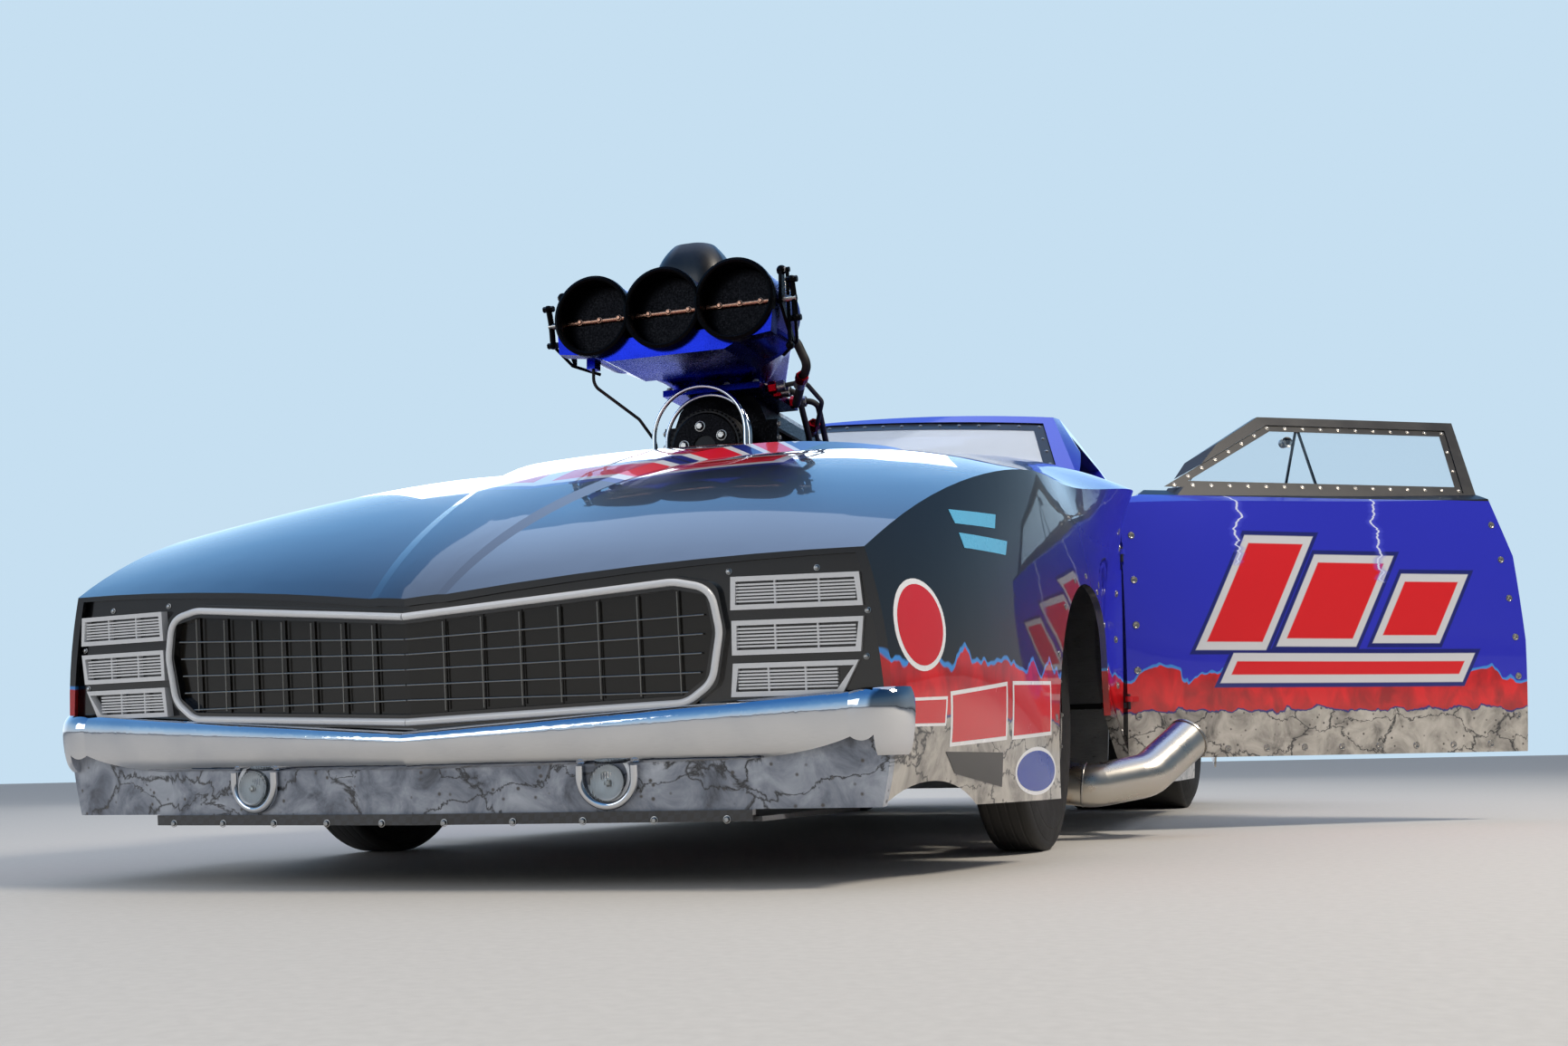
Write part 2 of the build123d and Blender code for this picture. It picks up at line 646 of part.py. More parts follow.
def plenum():
    # From the three throats side by side, down and back to the flange on the blower
    mouth = Plane((0, PLENUM_Y, THROAT_Z), x_dir=(1, 0, 0), z_dir=(0, 1, 0))
    bend = Plane((0, 215, THROAT_Z - 16), x_dir=(1, 0, 0), z_dir=(0, 0.82, -0.57))
    neck = Plane((0, 342, BLOWER_TOP_Z + FLANGE_THICK), x_dir=(1, 0, 0), z_dir=(0, 0, -1))
    sections = [mouth * RectangleRounded(2 * THROAT_PITCH + 190, 190, 94),
                bend * RectangleRounded(430, 205, 90), neck * RectangleRounded(230, 262, 60)]
    return loft(sections).solids()[0]


def injector_hat():
    outer = THROAT_R + THROAT_WALL
    pieces = [throat(n, outer, THROAT_Y, PLENUM_Y - THROAT_Y + 20) for n in (-1, 0, 1)]
    flange = box(-FLANGE_HALF, FLANGE_HALF, FLANGE_Y0, FLANGE_Y1, BLOWER_TOP_Z, BLOWER_TOP_Z + FLANGE_THICK)
    z = THROAT_Z
    web = prism_y([(-264, z - 60), (264, z - 60), (150, z - 112), (-150, z - 112)],
                  THROAT_Y + 14, PLENUM_Y + 60)
    corner = prism_y([(THROAT_PITCH, z), (THROAT_PITCH, z - outer), (272, z - 86), (280, z)],
                     THROAT_Y, THROAT_Y + 40)
    bracket = box(CABLE_X - 11, CABLE_X + 11, -36, -4, CABLE_Z + SEAT_GAP, CABLE_Z + 26)
    hat = joined([*pieces, plenum(), flange, web, corner, mirrored(corner), bracket])
    for n in (-1, 0, 1):
        hat = hat - throat(n, THROAT_R, THROAT_Y - 1, THROAT_DEPTH + 1)
    bore = rod((-400, THROTTLE_Y, THROAT_Z), (400, THROTTLE_Y, THROAT_Z), THROTTLE_SHAFT_R + SEAT_GAP)
    return hat - bore


def injector_cover():
    base = Plane((0, 118, THROAT_Z + 60)) * RectangleRounded(190, 190, 60)
    mid = Plane((0, 112, THROAT_Z + 150)) * RectangleRounded(178, 176, 60)
    top = Plane((0, 106, COVER_TOP_Z)) * RectangleRounded(110, 100, 44)
    dome = loft([base, mid, top]) - injector_hat()
    return largest(dome)


def throttle_linkage():
    # One shaft through the three throats with a blade in each, and a lever at each end
    y, z = THROTTLE_Y, THROAT_Z
    shaft = rod((-LINK_X, y, z), (LINK_X, y, z), THROTTLE_SHAFT_R)
    pieces = [shaft, *[throat(n, THROAT_R - 2, y + 2, BLADE_THICK) for n in (-1, 0, 1)]]
    lever = [(y - 14, z - 14), (y + 14, z - 14), (y + 10, z + 78), (y - 10, z + 78)]
    arm = [(y - 12, z + 10), (y - 12, z - 12), (y + 70, z - 88), (y + 70, z - 70)]
    for side in (-1, 1):
        x = side * (LINK_X - 6)
        pieces += [prism_x(lever, x - 4, x + 4), prism_x(arm, x - 4, x + 4), ball((x, y, z + 70), 12)]
    pieces.append(rod((LINK_X + 8, y, z + 70), (LINK_X + 8, y + 10, z - 110), 4.5))
    pieces.append(rod((LINK_X - 8, y, z + 70), (LINK_X + 14, y, z + 70), 6))
    pieces.append(ball((LINK_X + 8, y + 10, z - 110), 10))
    return joined(pieces)


# Hoses: radius, then the points of the route, then the bend radius
Hose = namedtuple("Hose", "r points bend")
HOSES = [
    Hose(11, [(214, 128, 1212), (262, 96, 1216), (288, 110, 1150), (246, 178, 1112), (210, 250, 1090)], 24),
    Hose(8, [(132.3, 300, 1136), (196, 300, 1136), (190, 400, 1040), (176, 480, 960)], 24),
    Hose(8, [(132.3, 420, 1136), (206, 430, 1136), (186, 560, 1050), (176, 640, 960)], 28),
    Hose(6, [(132.3, 250, 1136), (226, 270, 1150), (236, 380, 1120), (190, 460, 1060),
             (186, 560, 960)], 30),
]
CABLE_ROUTE = [(CABLE_X, -20, CABLE_Z), (CABLE_X, -20, 1120), (-150, 90, 1050), (-130, 146, 1000),
               (-130, 152, 880)]
CABLE = Hose(4, CABLE_ROUTE, 30)


def fuel_hoses():
    hat = injector_hat()
    hoses = [(bent_tube(hose.points, hose.bend, hose.r) - hat).solids()[0] for hose in HOSES]
    cable = bent_tube(CABLE.points, CABLE.bend, CABLE.r) - body_volume(STATIONS, -SEAT_GAP)
    return Compound([*hoses, largest(cable)])


# Exhaust: four primaries to a collector that turns out through the notch and ends in a bull horn
PRIMARY_R = 27.0
HEAD_FACE = (300.0, 600.0)
PRIMARY_YS = [300, 430, 560, 690]
PRIMARY_BEND = 60.0
COLLECTOR_R = 52.0
COLLECTOR_WALL = 4.0
COLLECTOR_START = (560, 436, 206)
HORN_POINTS = [COLLECTOR_START, (700, 432, 150), (880, 436, 128), (1000, 500, 150), (1086, 640, 236)]
HORN_BENDS = 70.0


def exhaust_side():
    pieces = []
    for n, y in enumerate(PRIMARY_YS):
        x, z = HEAD_FACE
        spread = (n - 1.5) * 22
        pts = [(x, y, z), (x + 110, y, z + 6), (x + 150, 436 + 2.2 * spread, 380), (556, 436 + spread, 222)]
        pieces.append(bent_tube(pts, PRIMARY_BEND, PRIMARY_R).solids()[0])
    horn = bent_tube(HORN_POINTS, HORN_BENDS, COLLECTOR_R).solids()[0]
    tip = Plane(Vector(*HORN_POINTS[-1]), z_dir=Vector(*HORN_POINTS[-1]) - Vector(*HORN_POINTS[-2]))
    bore = Solid.make_cylinder(COLLECTOR_R - COLLECTOR_WALL, 120, tip.offset(-119))
    return joined([*pieces, horn]) - bore


def exhaust_headers():
    return both(exhaust_side() - engine_block())


# Body shell, doors and glass

def rear_outer():
    return body_volume(REAR_STATIONS) + cabin_volume()


def rear_inner(skin, wall, tail=0.0):
    *rows, last = REAR_STATIONS
    lower = body_volume([*rows, last._replace(y=last.y - tail)], skin, 60)
    return lower + cabin_volume(wall, CABIN_BASE_Z - 30)


WIND_OPENING = [(-742, 972), (742, 972), (652, 1198), (0, 1236), (-652, 1198)]
BACK_OPENING = [(-640, 992), (640, 992), (560, 1186), (0, 1206), (-560, 1186)]
QUARTER_OPENING = [(2100, 938), (2330, 948), (2180, 1130), (2110, 1146)]
GLASS = 5.0
WIND_TOOL_DEPTH = 920.0
BACK_TOOL_DEPTH = 900.0
BACK_TOOL_Y = 2080.0


def grown(points, amount, plane):
    face = make_face(Polyline(*points, close=True))
    return plane * offset(face, amount=amount, kind=Kind.INTERSECTION)


def window_tool(points, amount, plane, depth):
    return extrude(grown(points, amount, plane), amount=depth)


def front_plane():
    return Plane((0, 400, 0), x_dir=(1, 0, 0), z_dir=(0, -1, 0))


def side_plane(x):
    return Plane((x, 0, 0), x_dir=(0, 1, 0), z_dir=(1, 0, 0))


def windshield_tool(amount):
    return window_tool(WIND_OPENING, amount, front_plane(), -WIND_TOOL_DEPTH)


def back_tool(amount):
    plane = Plane((0, BACK_TOOL_Y, 0), x_dir=(1, 0, 0), z_dir=(0, -1, 0))
    return window_tool(BACK_OPENING, amount, plane, -BACK_TOOL_DEPTH)


def quarter_tool(amount):
    return window_tool(QUARTER_OPENING, amount, side_plane(560), 500)


def glass_layer():
    return cabin_volume(4, CABIN_BASE_Z) - cabin_volume(4 + GLASS, CABIN_BASE_Z - 10)


SIDE_CORE_Z = 898.0
DOOR_BELT_Z = 900.0


def door_face(amount):
    points = [(DOOR_FRONT_Y, DOOR_BOTTOM_Z), (DOOR_FRONT_Y, 880), (884, 896), (1364, 1166), (2030, 1174),
              (BELT_REAR_Y, BELT_REAR_Z), (2030, 740), (DOOR_REAR_Y, 500), (2038, DOOR_BOTTOM_Z)]
    return grown(points, amount, side_plane(500))


def door_tool(amount):
    return extrude(door_face(amount), amount=700) - side_core(DOOR_FRAME_WALL + amount)


def side_core(inset):
    # All that lies inward of the side windows' plane by the inset, above the belt
    def outline(z):
        t = (z - CABIN_BASE_Z) / (CABIN_TOP_Z - CABIN_BASE_Z)
        a = A_PILLAR.x_base + (A_PILLAR.x_top - A_PILLAR.x_base) * t - inset
        c = C_PILLAR.x_base + (C_PILLAR.x_top - C_PILLAR.x_base) * t - inset
        return Face(Wire.make_polygon([(0, 600, z), (a, 600, z), (c, 2600, z), (0, 2600, z)], close=True))
    return loft([outline(SIDE_CORE_Z), outline(CABIN_TOP_Z)], ruled=True)


DOOR_WINDOW = [(975, 926), (1382, 1140), (1990, 1146), (1938, 932)]


def door_window_tool(amount):
    return window_tool(DOOR_WINDOW, amount, side_plane(500), 600)


def rear_arches():
    tool = drum_x((ARCH_INNER_X, WHEELBASE, REAR_ARCH_Z), REAR_ARCH_R, REAR_ARCH_DEPTH)
    return tool + mirrored(tool)


# Cut-out in the tail for the wheelie bars
BAR_SLOT_HALF = 320.0
BAR_SLOT_Z = 420.0

DECK_HALF = 690.0
DECK_Y0 = 2800.0
DECK_Y1 = 3790.0


def deck_tool(gap):
    return box(-DECK_HALF - gap, DECK_HALF + gap, DECK_Y0 - gap, DECK_Y1 + gap, 880, 1100)


def ledge_frame():
    # Flange under the edge of the deck lid
    return deck_tool(10) - deck_tool(-18)


def door_opening():
    # Through the whole wall above the belt too, so that the side windows look into the cabin
    return extrude(door_face(PANEL_GAP), amount=700) - side_core(2 * PILLAR)


def body_shell(outer, inner):
    shell = outer - inner
    shell = shell - box(-1200, 1200, 0, CLIP_REAR_Y + PANEL_GAP, 0, 1500)
    door = door_opening()
    quarter = quarter_tool(0)
    for tool in (door, mirrored(door), windshield_tool(0), back_tool(0), quarter, mirrored(quarter)):
        shell = shell - tool
    shell = shell - rear_arches() - deck_tool(3)
    shell = shell - box(-BAR_SLOT_HALF, BAR_SLOT_HALF, TAIL_Y - 60, TAIL_Y + 10, 0, BAR_SLOT_Z)
    ledge = (body_volume(REAR_STATIONS, 6, 60) - body_volume(REAR_STATIONS, SKIN + 10, 60)) & ledge_frame()
    lid_room = (outer - inner) & deck_tool(3)
    return shell + (ledge - lid_room - lid_room.moved(Location((0, 0, -SEAT_GAP))))


def windshield():
    return glass_layer() & windshield_tool(-SEAT_GAP)


def rear_windows():
    glass = glass_layer()
    quarter = glass & quarter_tool(-SEAT_GAP)
    back = glass & back_tool(-SEAT_GAP)
    return Compound([*back.solids(), *quarter.solids(), *mirrored(quarter).solids()])


def deck_lid(outer, inner):
    return (outer - inner) & deck_tool(0)


def door_solid(outer):
    inner = rear_inner(DOOR_SKIN, DOOR_FRAME_WALL)
    side = box(400, 1300, DOOR_FRONT_Y - 50, DOOR_REAR_Y + 60, 0, 1400)
    panel = (outer & side) - inner
    panel = panel & door_tool(0)
    panel = panel - door_window_tool(0)
    ears = []
    for z in HINGE_HEIGHTS:
        pad = box(HINGE_X - 40, HINGE_X - 2, HINGE_Y - 2, HINGE_Y + 30, z + 8, z + 22)
        ears += [pad, Solid.make_cylinder(HINGE_EAR_R, 14, Plane((HINGE_X, HINGE_Y, z + 8)))]
    door = joined([panel, *ears])
    for z in HINGE_HEIGHTS:
        door = door - seat_rod((HINGE_X, HINGE_Y, z - 20), (HINGE_X, HINGE_Y, z + 40), HINGE_PIN_R)
    return largest(door)


def door_parts(outer):
    # The painted panel below the belt and the black window frame bolted on it
    door = door_solid(outer)
    belt = box(400, 1300, 600, 2300, DOOR_BELT_Z, 1400)
    return door - belt, door & belt


def opened(shape):
    return shape.rotate(Axis((HINGE_X, HINGE_Y, 0), (0, 0, 1)), -DOOR_OPEN_DEG)


def door_glass():
    return glass_layer() & door_window_tool(-SEAT_GAP) & door_tool(0)


# Tail

def rear_spoiler():
    plate = prism_x([(3795, 950), (4120, 1012), (4120, 1020), (3795, 958)], -740, 740)
    end = prism_x([(3760, 945), (4125, 985), (4125, 1050), (3900, 1010)], 740, 746)
    foot = prism_x([(3800, 930), (3860, 930), (3860, 965), (3800, 953)], -60, 60)
    return joined([plate, end, mirrored(end), foot]) - body_volume(REAR_STATIONS, -SEAT_GAP)


LAMP_XS = [(430, 540), (555, 665), (680, 790)]


def tail_lamps():
    lamps = [box(x0, x1, TAIL_Y + SEAT_GAP, TAIL_Y + 16, 660, 760) for x0, x1 in LAMP_XS]
    return Compound(lamps + [mirrored(s) for s in lamps])


def rear_bumper():
    bar = prism_y([(-830, 430), (830, 430), (830, 540), (-830, 540)], TAIL_Y + SEAT_GAP, TAIL_Y + 52)
    return fillet(bar.edges().filter_by(Axis.X), 18)


def parachutes():
    pack = box(60, 260, TAIL_Y + 40, TAIL_Y + 300, 580, 740)
    pack = fillet(pack.edges().filter_by(Axis.Y), 50)
    bracket = box(120, 200, TAIL_Y + SEAT_GAP, TAIL_Y + 60, 620, 700)
    return both(joined([pack, bracket]).solids()[0])


# Wheels

def tyre(radius, bead_r, half_tread, bulge, bead_half, centre):
    # Section from the bead's seat out over the side wall, the shoulder and half the tread
    soft = SHOULDER * 0.3
    seat = (bead_half, 0, bead_r)
    foot = (bead_half, 0, bead_r + BEAD_STEP)
    side = (half_tread + bulge, 0, (radius + bead_r) / 2)
    edge = (half_tread, 0, radius - SHOULDER)
    via = (half_tread - soft, 0, radius - soft)
    tread = (half_tread - SHOULDER, 0, radius)
    edges = [
        Edge.make_line(flip(seat), seat), Edge.make_line(seat, foot),
        Edge.make_three_point_arc(foot, side, edge), Edge.make_three_point_arc(edge, via, tread),
        Edge.make_line(tread, flip(tread)),
        Edge.make_three_point_arc(flip(tread), flip(via), flip(edge)),
        Edge.make_three_point_arc(flip(edge), flip(side), flip(foot)),
        Edge.make_line(flip(foot), flip(seat))]
    solid = Solid.revolve(Face(Wire(edges)), 360, Axis((0, 0, 0), (1, 0, 0)))
    return solid.moved(Location(centre))


def rim(size, centre):
    # Barrel with a flange at each bead, a dished disc with windows between spokes, and a hub
    r = size.bead_r - SEAT_GAP
    inner = r - RIM_WALL
    half = size.bead_half + LIP_THICK
    barrel = drum_x((-half, 0, 0), r, 2 * half)
    for x in (-half, size.bead_half + SEAT_GAP):
        barrel = barrel + drum_x((x, 0, 0), size.bead_r + LIP_HEIGHT, LIP_THICK - SEAT_GAP)
    barrel = barrel - drum_x((-half - 1, 0, 0), inner, 2 * half + 2)
    disc = drum_x((size.disc_x, 0, 0), inner + 1, RIM_DISC_THICK)
    mid, window_r = (inner + size.hub_r) / 2, (inner - size.hub_r) * 0.33
    for n in range(size.windows):
        a = radians(360 * (n + 0.5) / size.windows)
        disc = disc - drum_x((size.disc_x - 10, mid * sin(a), mid * cos(a)), window_r, 40)
    hub = drum_x((size.hub_x0, 0, 0), size.hub_r, size.hub_x1 - size.hub_x0)
    return joined([barrel, disc, hub]).moved(Location(centre))


def front_tyre():
    half_tread = FRONT_TYRE_WIDTH / 2 - FRONT_BULGE + 2
    return tyre(FRONT_TYRE_R, FRONT_BEAD_R, half_tread, FRONT_BULGE, FRONT_RIM.bead_half, FRONT_CENTRE)


def front_rim():
    return rim(FRONT_RIM, FRONT_CENTRE)


def rear_tyre():
    return tyre(REAR_TYRE_R, REAR_BEAD_R, REAR_TREAD_WIDTH / 2, REAR_BULGE, REAR_RIM.bead_half, REAR_CENTRE)


def rear_rim():
    x, y, z = REAR_CENTRE
    shaft = rod((AXLE_END_X + SEAT_GAP, y, z), (x + REAR_RIM.disc_x, y, z), REAR_SHAFT_R)
    return joined([rim(REAR_RIM, REAR_CENTRE), shaft])


# Front suspension
STRUT_R = 28.0
STRUT_TOP_Z = 800.0
KNUCKLE_Z0 = 206.0
KNUCKLE_Z1 = 470.0


def knuckle():
    post = box(KINGPIN_X - 26, KINGPIN_X + 34, -34, 34, KNUCKLE_Z0, KNUCKLE_Z1)
    spindle = rod((KINGPIN_X, 0, FRONT_TYRE_R), (FRONT_WHEEL_X - 22 - SEAT_GAP, 0, FRONT_TYRE_R), 30)
    caliper = box(KINGPIN_X + 20, KINGPIN_X + 74, 40, 120, FRONT_TYRE_R - 50, FRONT_TYRE_R + 60)
    arm = box(KINGPIN_X - 14, KINGPIN_X + 14, -140, 0, 236, 254)
    link = box(KINGPIN_X + 10, KINGPIN_X + 34, 0, 60, FRONT_TYRE_R - 30, FRONT_TYRE_R + 30)
    return joined([post, spindle, caliper, arm, link])


def front_suspension():
    strut = rod((KINGPIN_X, 0, KNUCKLE_Z1 + SEAT_GAP), (KINGPIN_X, 0, STRUT_TOP_Z), STRUT_R)
    spring = rod((KINGPIN_X, 0, 560), (KINGPIN_X, 0, 760), 44)
    ball_joint = Solid.make_cylinder(26, 30, Plane((KINGPIN_X, 0, KNUCKLE_Z0 - 30 - SEAT_GAP)))
    mount = box(KINGPIN_X - 50, KINGPIN_X + 50, -50, 50, STRUT_TOP_Z - 8, STRUT_TOP_Z)
    brace = rod((KINGPIN_X - 40, 0, STRUT_TOP_Z - 10), (RAIL_X, 40, UPPER_Z), 18)
    upper_rail = seat_rod((RAIL_X, -300, UPPER_Z), (RAIL_X, 300, UPPER_Z), TUBE)
    lower_rail = seat_rod((RAIL_X, -300, RAIL_Z), (RAIL_X, 300, RAIL_Z), RAIL_R)
    arms = [rod((RAIL_X, y, RAIL_Z), (KINGPIN_X, 0, KNUCKLE_Z0 - 16), 15) for y in (-170, 150)]
    upper = largest(joined([strut, spring, mount, brace]) - upper_rail)
    lower = largest(joined([ball_joint, *arms]) - lower_rail)
    return Compound([upper, lower, mirrored(upper), mirrored(lower)])


# Frame rails and roll cage: ends of each tube on the driver's side, then its radius
Tube = namedtuple("Tube", "start end r")
FIREWALL_BRACE = Tube((RAIL_X, 800, UPPER_Z), (780, 868, 700), TUBE)
DOOR_POST = Tube((780, 868, 150), (780, 868, 852), TUBE)
TUBES = [
    Tube((RAIL_X, -760, RAIL_Z), (RAIL_X, 3420, RAIL_Z), RAIL_R),
    Tube((RAIL_X, -300, UPPER_Z), (RAIL_X, 800, UPPER_Z), TUBE),
    Tube((RAIL_X, -300, UPPER_Z), (RAIL_X, -300, RAIL_Z), TUBE),
    Tube((RAIL_X, -300, UPPER_Z), (RAIL_X, -740, RAIL_Z), TUBE),
    Tube((RAIL_X, 800, UPPER_Z), (RAIL_X, 800, RAIL_Z), TUBE),
    DOOR_POST,
    FIREWALL_BRACE,
    Tube((780, 868, 150), (780, 2080, 150), TUBE),
    Tube((RAIL_X, 868, 150), (780, 868, 150), TUBE),
    Tube((780, 868, 852), (700, 1080, 925), TUBE),
    Tube((700, 1080, 925), (640, 1330, 1140), TUBE),
    Tube((640, 1330, 1140), (600, 2090, 1150), TUBE),
    Tube((600, 2090, 1150), (780, 2080, 860), TUBE),
    Tube((780, 2080, 860), (780, 2080, 150), TUBE),
    Tube((600, 2090, 1150), (330, 2700, 800), TUBE),
    Tube((330, 2700, 800), (330, 3420, 620), TUBE),
    Tube((330, 3420, 620), (RAIL_X, 3420, RAIL_Z), TUBE),
    Tube((330, 2700, 800), (RAIL_X, 2500, RAIL_Z), TUBE),
    Tube((780, 2080, 420), (RAIL_X, 2500, RAIL_Z), TUBE),
    Tube((780, 868, 640), (780, 2080, 420), TUBE),
]
CROSS_TUBES = [
    Tube((-RAIL_X, -740, RAIL_Z), (RAIL_X, -740, RAIL_Z), TUBE),
    Tube((-780, 868, 780), (780, 868, 780), TUBE),
    Tube((-640, 1330, 1140), (640, 1330, 1140), TUBE),
    Tube((-600, 2090, 1150), (600, 2090, 1150), TUBE),
    Tube((-780, 2080, 760), (780, 2080, 760), TUBE),
    Tube((-780, 2080, 150), (780, 2080, 150), TUBE),
    Tube((-RAIL_X, 2500, RAIL_Z), (RAIL_X, 2500, RAIL_Z), TUBE),
    Tube((-330, 2700, 800), (330, 2700, 800), TUBE),
    Tube((-330, 3420, 620), (330, 3420, 620), TUBE),
    Tube((-RAIL_X, 3420, RAIL_Z), (RAIL_X, 3420, RAIL_Z), TUBE),
]

# Tie-down eyes on the rails and the jack pad under the rear cross tube
TIE_EYE_R = 14.0
TIE_THICK = 10.0
TIE_X = RAIL_X + RAIL_R + 20
TIE_YS = [-480.0, 3300.0]
JACK_PAD_Z = 146.0


def tie_down(y):
    # Plate welded to the side of the rail, with an upright eye
    lug = box(RAIL_X, TIE_X + 34, y - 34, y + 34, RAIL_Z - TIE_THICK / 2, RAIL_Z + TIE_THICK / 2)
    return lug - rod((TIE_X, y, RAIL_Z - 20), (TIE_X, y, RAIL_Z + 20), TIE_EYE_R)


def off_axis(point, tube):
    # Distance of a point from the axis of a tube, inside its length
    p, q, v = Vector(*tube.start), Vector(*tube.end), Vector(*point)
    along = (q - p).normalized()
    t = min(max((v - p).dot(along), 0), (q - p).length)
    return (v - p - along * t).length


def coped(solid, others):
    # The end of a tube is notched to the tubes that it meets
    for other in others:
        if solid.bounding_box().min.X > other.bounding_box().max.X + 1:
            continue
        solid = solid - other
    return largest(solid)


def splitter_post():
    return box(RAIL_X - 12, RAIL_X + 12, -770, -710, SPLITTER_Z0 + SPLITTER_THICK + SEAT_GAP, RAIL_Z)


def hinge_bracket(z):
    leaf = box(780, HINGE_X - 2, HINGE_Y - 2, HINGE_Y + 2, z - 8, z + 6)
    stand = box(770, 790, HINGE_Y - 2, 868, z - 8, z + 6)
    stub = box(HINGE_X - 12, HINGE_X, HINGE_Y - 2, HINGE_Y + 2, z - 8, z + 6)
    pin = rod((HINGE_X, HINGE_Y, z - 12), (HINGE_X, HINGE_Y, z + 28), HINGE_PIN_R)
    return joined([leaf, stand, stub, pin])


def side_tubes():
    # Each tube is a solid of its own, notched face to face to those before it
    solids, laid = [], []
    for tube in TUBES:
        pieces = [rod(*tube)]
        along = Vector(*tube.end) - Vector(*tube.start)
        for end in (tube.start, tube.end):
            if all(off_axis(end, other) >= other.r for other in laid):
                pieces.append(ball(end, tube.r + WELD, along))
        solids.append(coped(joined(pieces), solids))
        laid.append(tube)
    fittings = [splitter_post(), *[tie_down(y) for y in TIE_YS], *[hinge_bracket(z) for z in HINGE_HEIGHTS]]
    return solids + [coped(fitting, solids) for fitting in fittings]


def chassis_frame():
    left = side_tubes()
    right = [mirrored(s) for s in left]
    across = []
    for tube in CROSS_TUBES:
        solid = rod(*tube)
        if tube == CROSS_TUBES[-1]:
            solid = joined([solid, box(-80, 80, 3380, 3460, JACK_PAD_Z, RAIL_Z - 8)])
        across.append(coped(solid, left + right + across))
    return Compound([*left, *right, *across])


# Cabin

def floor_and_firewall():
    inner = rear_inner(DOOR_SKIN + PANEL_GAP, PILLAR + PANEL_GAP)
    floor = box(-870, 870, WALL_REAR_Y - 3, 2360, FLOOR_TOP_Z - SHEET, FLOOR_TOP_Z)
    wall = box(-1000, 1000, WALL_REAR_Y - SHEET, WALL_REAR_Y, FLOOR_TOP_Z - SHEET, WALL_TOP_Z) & inner
    sheet = joined([floor & inner, wall]) - rod((0, 700, CRANK_Z), (0, 1000, CRANK_Z), BELL_R + 3)
    for tube in (Tube((RAIL_X, 700, RAIL_Z), (RAIL_X, 1000, RAIL_Z), RAIL_R), FIREWALL_BRACE):
        grown_tube = rod(tube.start, tube.end, tube.r + 3)
        sheet = sheet - grown_tube - mirrored(grown_tube)
    for z in HINGE_HEIGHTS:
        z0, z1 = z - 8 - SEAT_GAP, z + 6 + SEAT_GAP
        slot = box(770 - SEAT_GAP, 1000, WALL_REAR_Y - 10, WALL_REAR_Y + 1, z0, z1)
        sheet = sheet - slot - mirrored(slot)
    return sheet


SEAT_HALF = 170.0
SEAT_WALL = 14.0


def seat():
    # Bucket: side wings that rise to the shoulders, a raked back with a head rest, and a low tub
    foot_z = FLOOR_TOP_Z + SEAT_GAP
    side = [(1500, foot_z), (1960, foot_z), (2000, 560), (2034, 900), (1990, 912),
            (1880, 760), (1800, 560), (1700, 440), (1500, 420), (1470, 330), (1480, 220)]
    x0, x1 = SEAT_X - SEAT_HALF, SEAT_X + SEAT_HALF
    left = prism_x(side, x0, x0 + SEAT_WALL)
    right = prism_x(side, x1 - SEAT_WALL, x1)
    back = prism_x([(1850, 290), (1900, 290), (2030, 900), (2000, 906)], x0, x1)
    base = prism_x([(1480, 290), (1870, 240), (1890, 290), (1490, 340)], x0, x1)
    front = prism_x([(1480, 230), (1500, 230), (1500, 330), (1480, 330)], x0, x1)
    head = prism_x([(1990, 880), (2020, 880), (2040, 1010), (2010, 1015)], SEAT_X - 90, SEAT_X + 90)
    return joined([left, right, back, base, front, head])



STEER_Y = 1430.0
STEER_Z = 800.0
STEER_R = 150.0
STEER_GRIP_R = 13.0
COLUMN_R = 11.0


def steering_plane():
    return Plane((SEAT_X, STEER_Y, STEER_Z), x_dir=(1, 0, 0), z_dir=(0, 0.94, 0.342))


def dashboard():
    pod = box(-700, 700, 1040, 1120, 800, 872)
    stay = box(-700, -640, 850, 1050, 780 + TUBE + SEAT_GAP, 840)
    bracket = box(SEAT_X - 25, SEAT_X + 25, 1066, 1110, 640, 802)
    shaft = Solid.make_cylinder(COLUMN_R + SEAT_GAP, 600, steering_plane().offset(-600))
    hood = prism_x([(1030, 860), (1130, 860), (1130, 905), (1060, 925)], SEAT_X - 130, SEAT_X + 130)
    return joined([pod, stay, mirrored(stay), bracket, hood]) - shaft


def steering_wheel():
    plane = steering_plane()
    ring = Solid.make_torus(STEER_R, STEER_GRIP_R, plane)
    hub = Solid.make_cylinder(30, 24, plane.offset(-30))
    spokes = []
    for a in (90, 210, 330):
        end = plane.from_local_coords((STEER_R * cos(radians(a)), STEER_R * sin(radians(a)), 0))
        spokes.append(rod(plane.from_local_coords((0, 0, -14)), end, 7))
    shaft = Solid.make_cylinder(COLUMN_R, 410, plane.offset(-430))
    return joined([ring, hub, *spokes, shaft])


# Rear axle and links

AXLE_R = 46.0
DIFF_R = 150.0
DIFF_HALF = 110.0
LINK_SIDE_X = 250.0


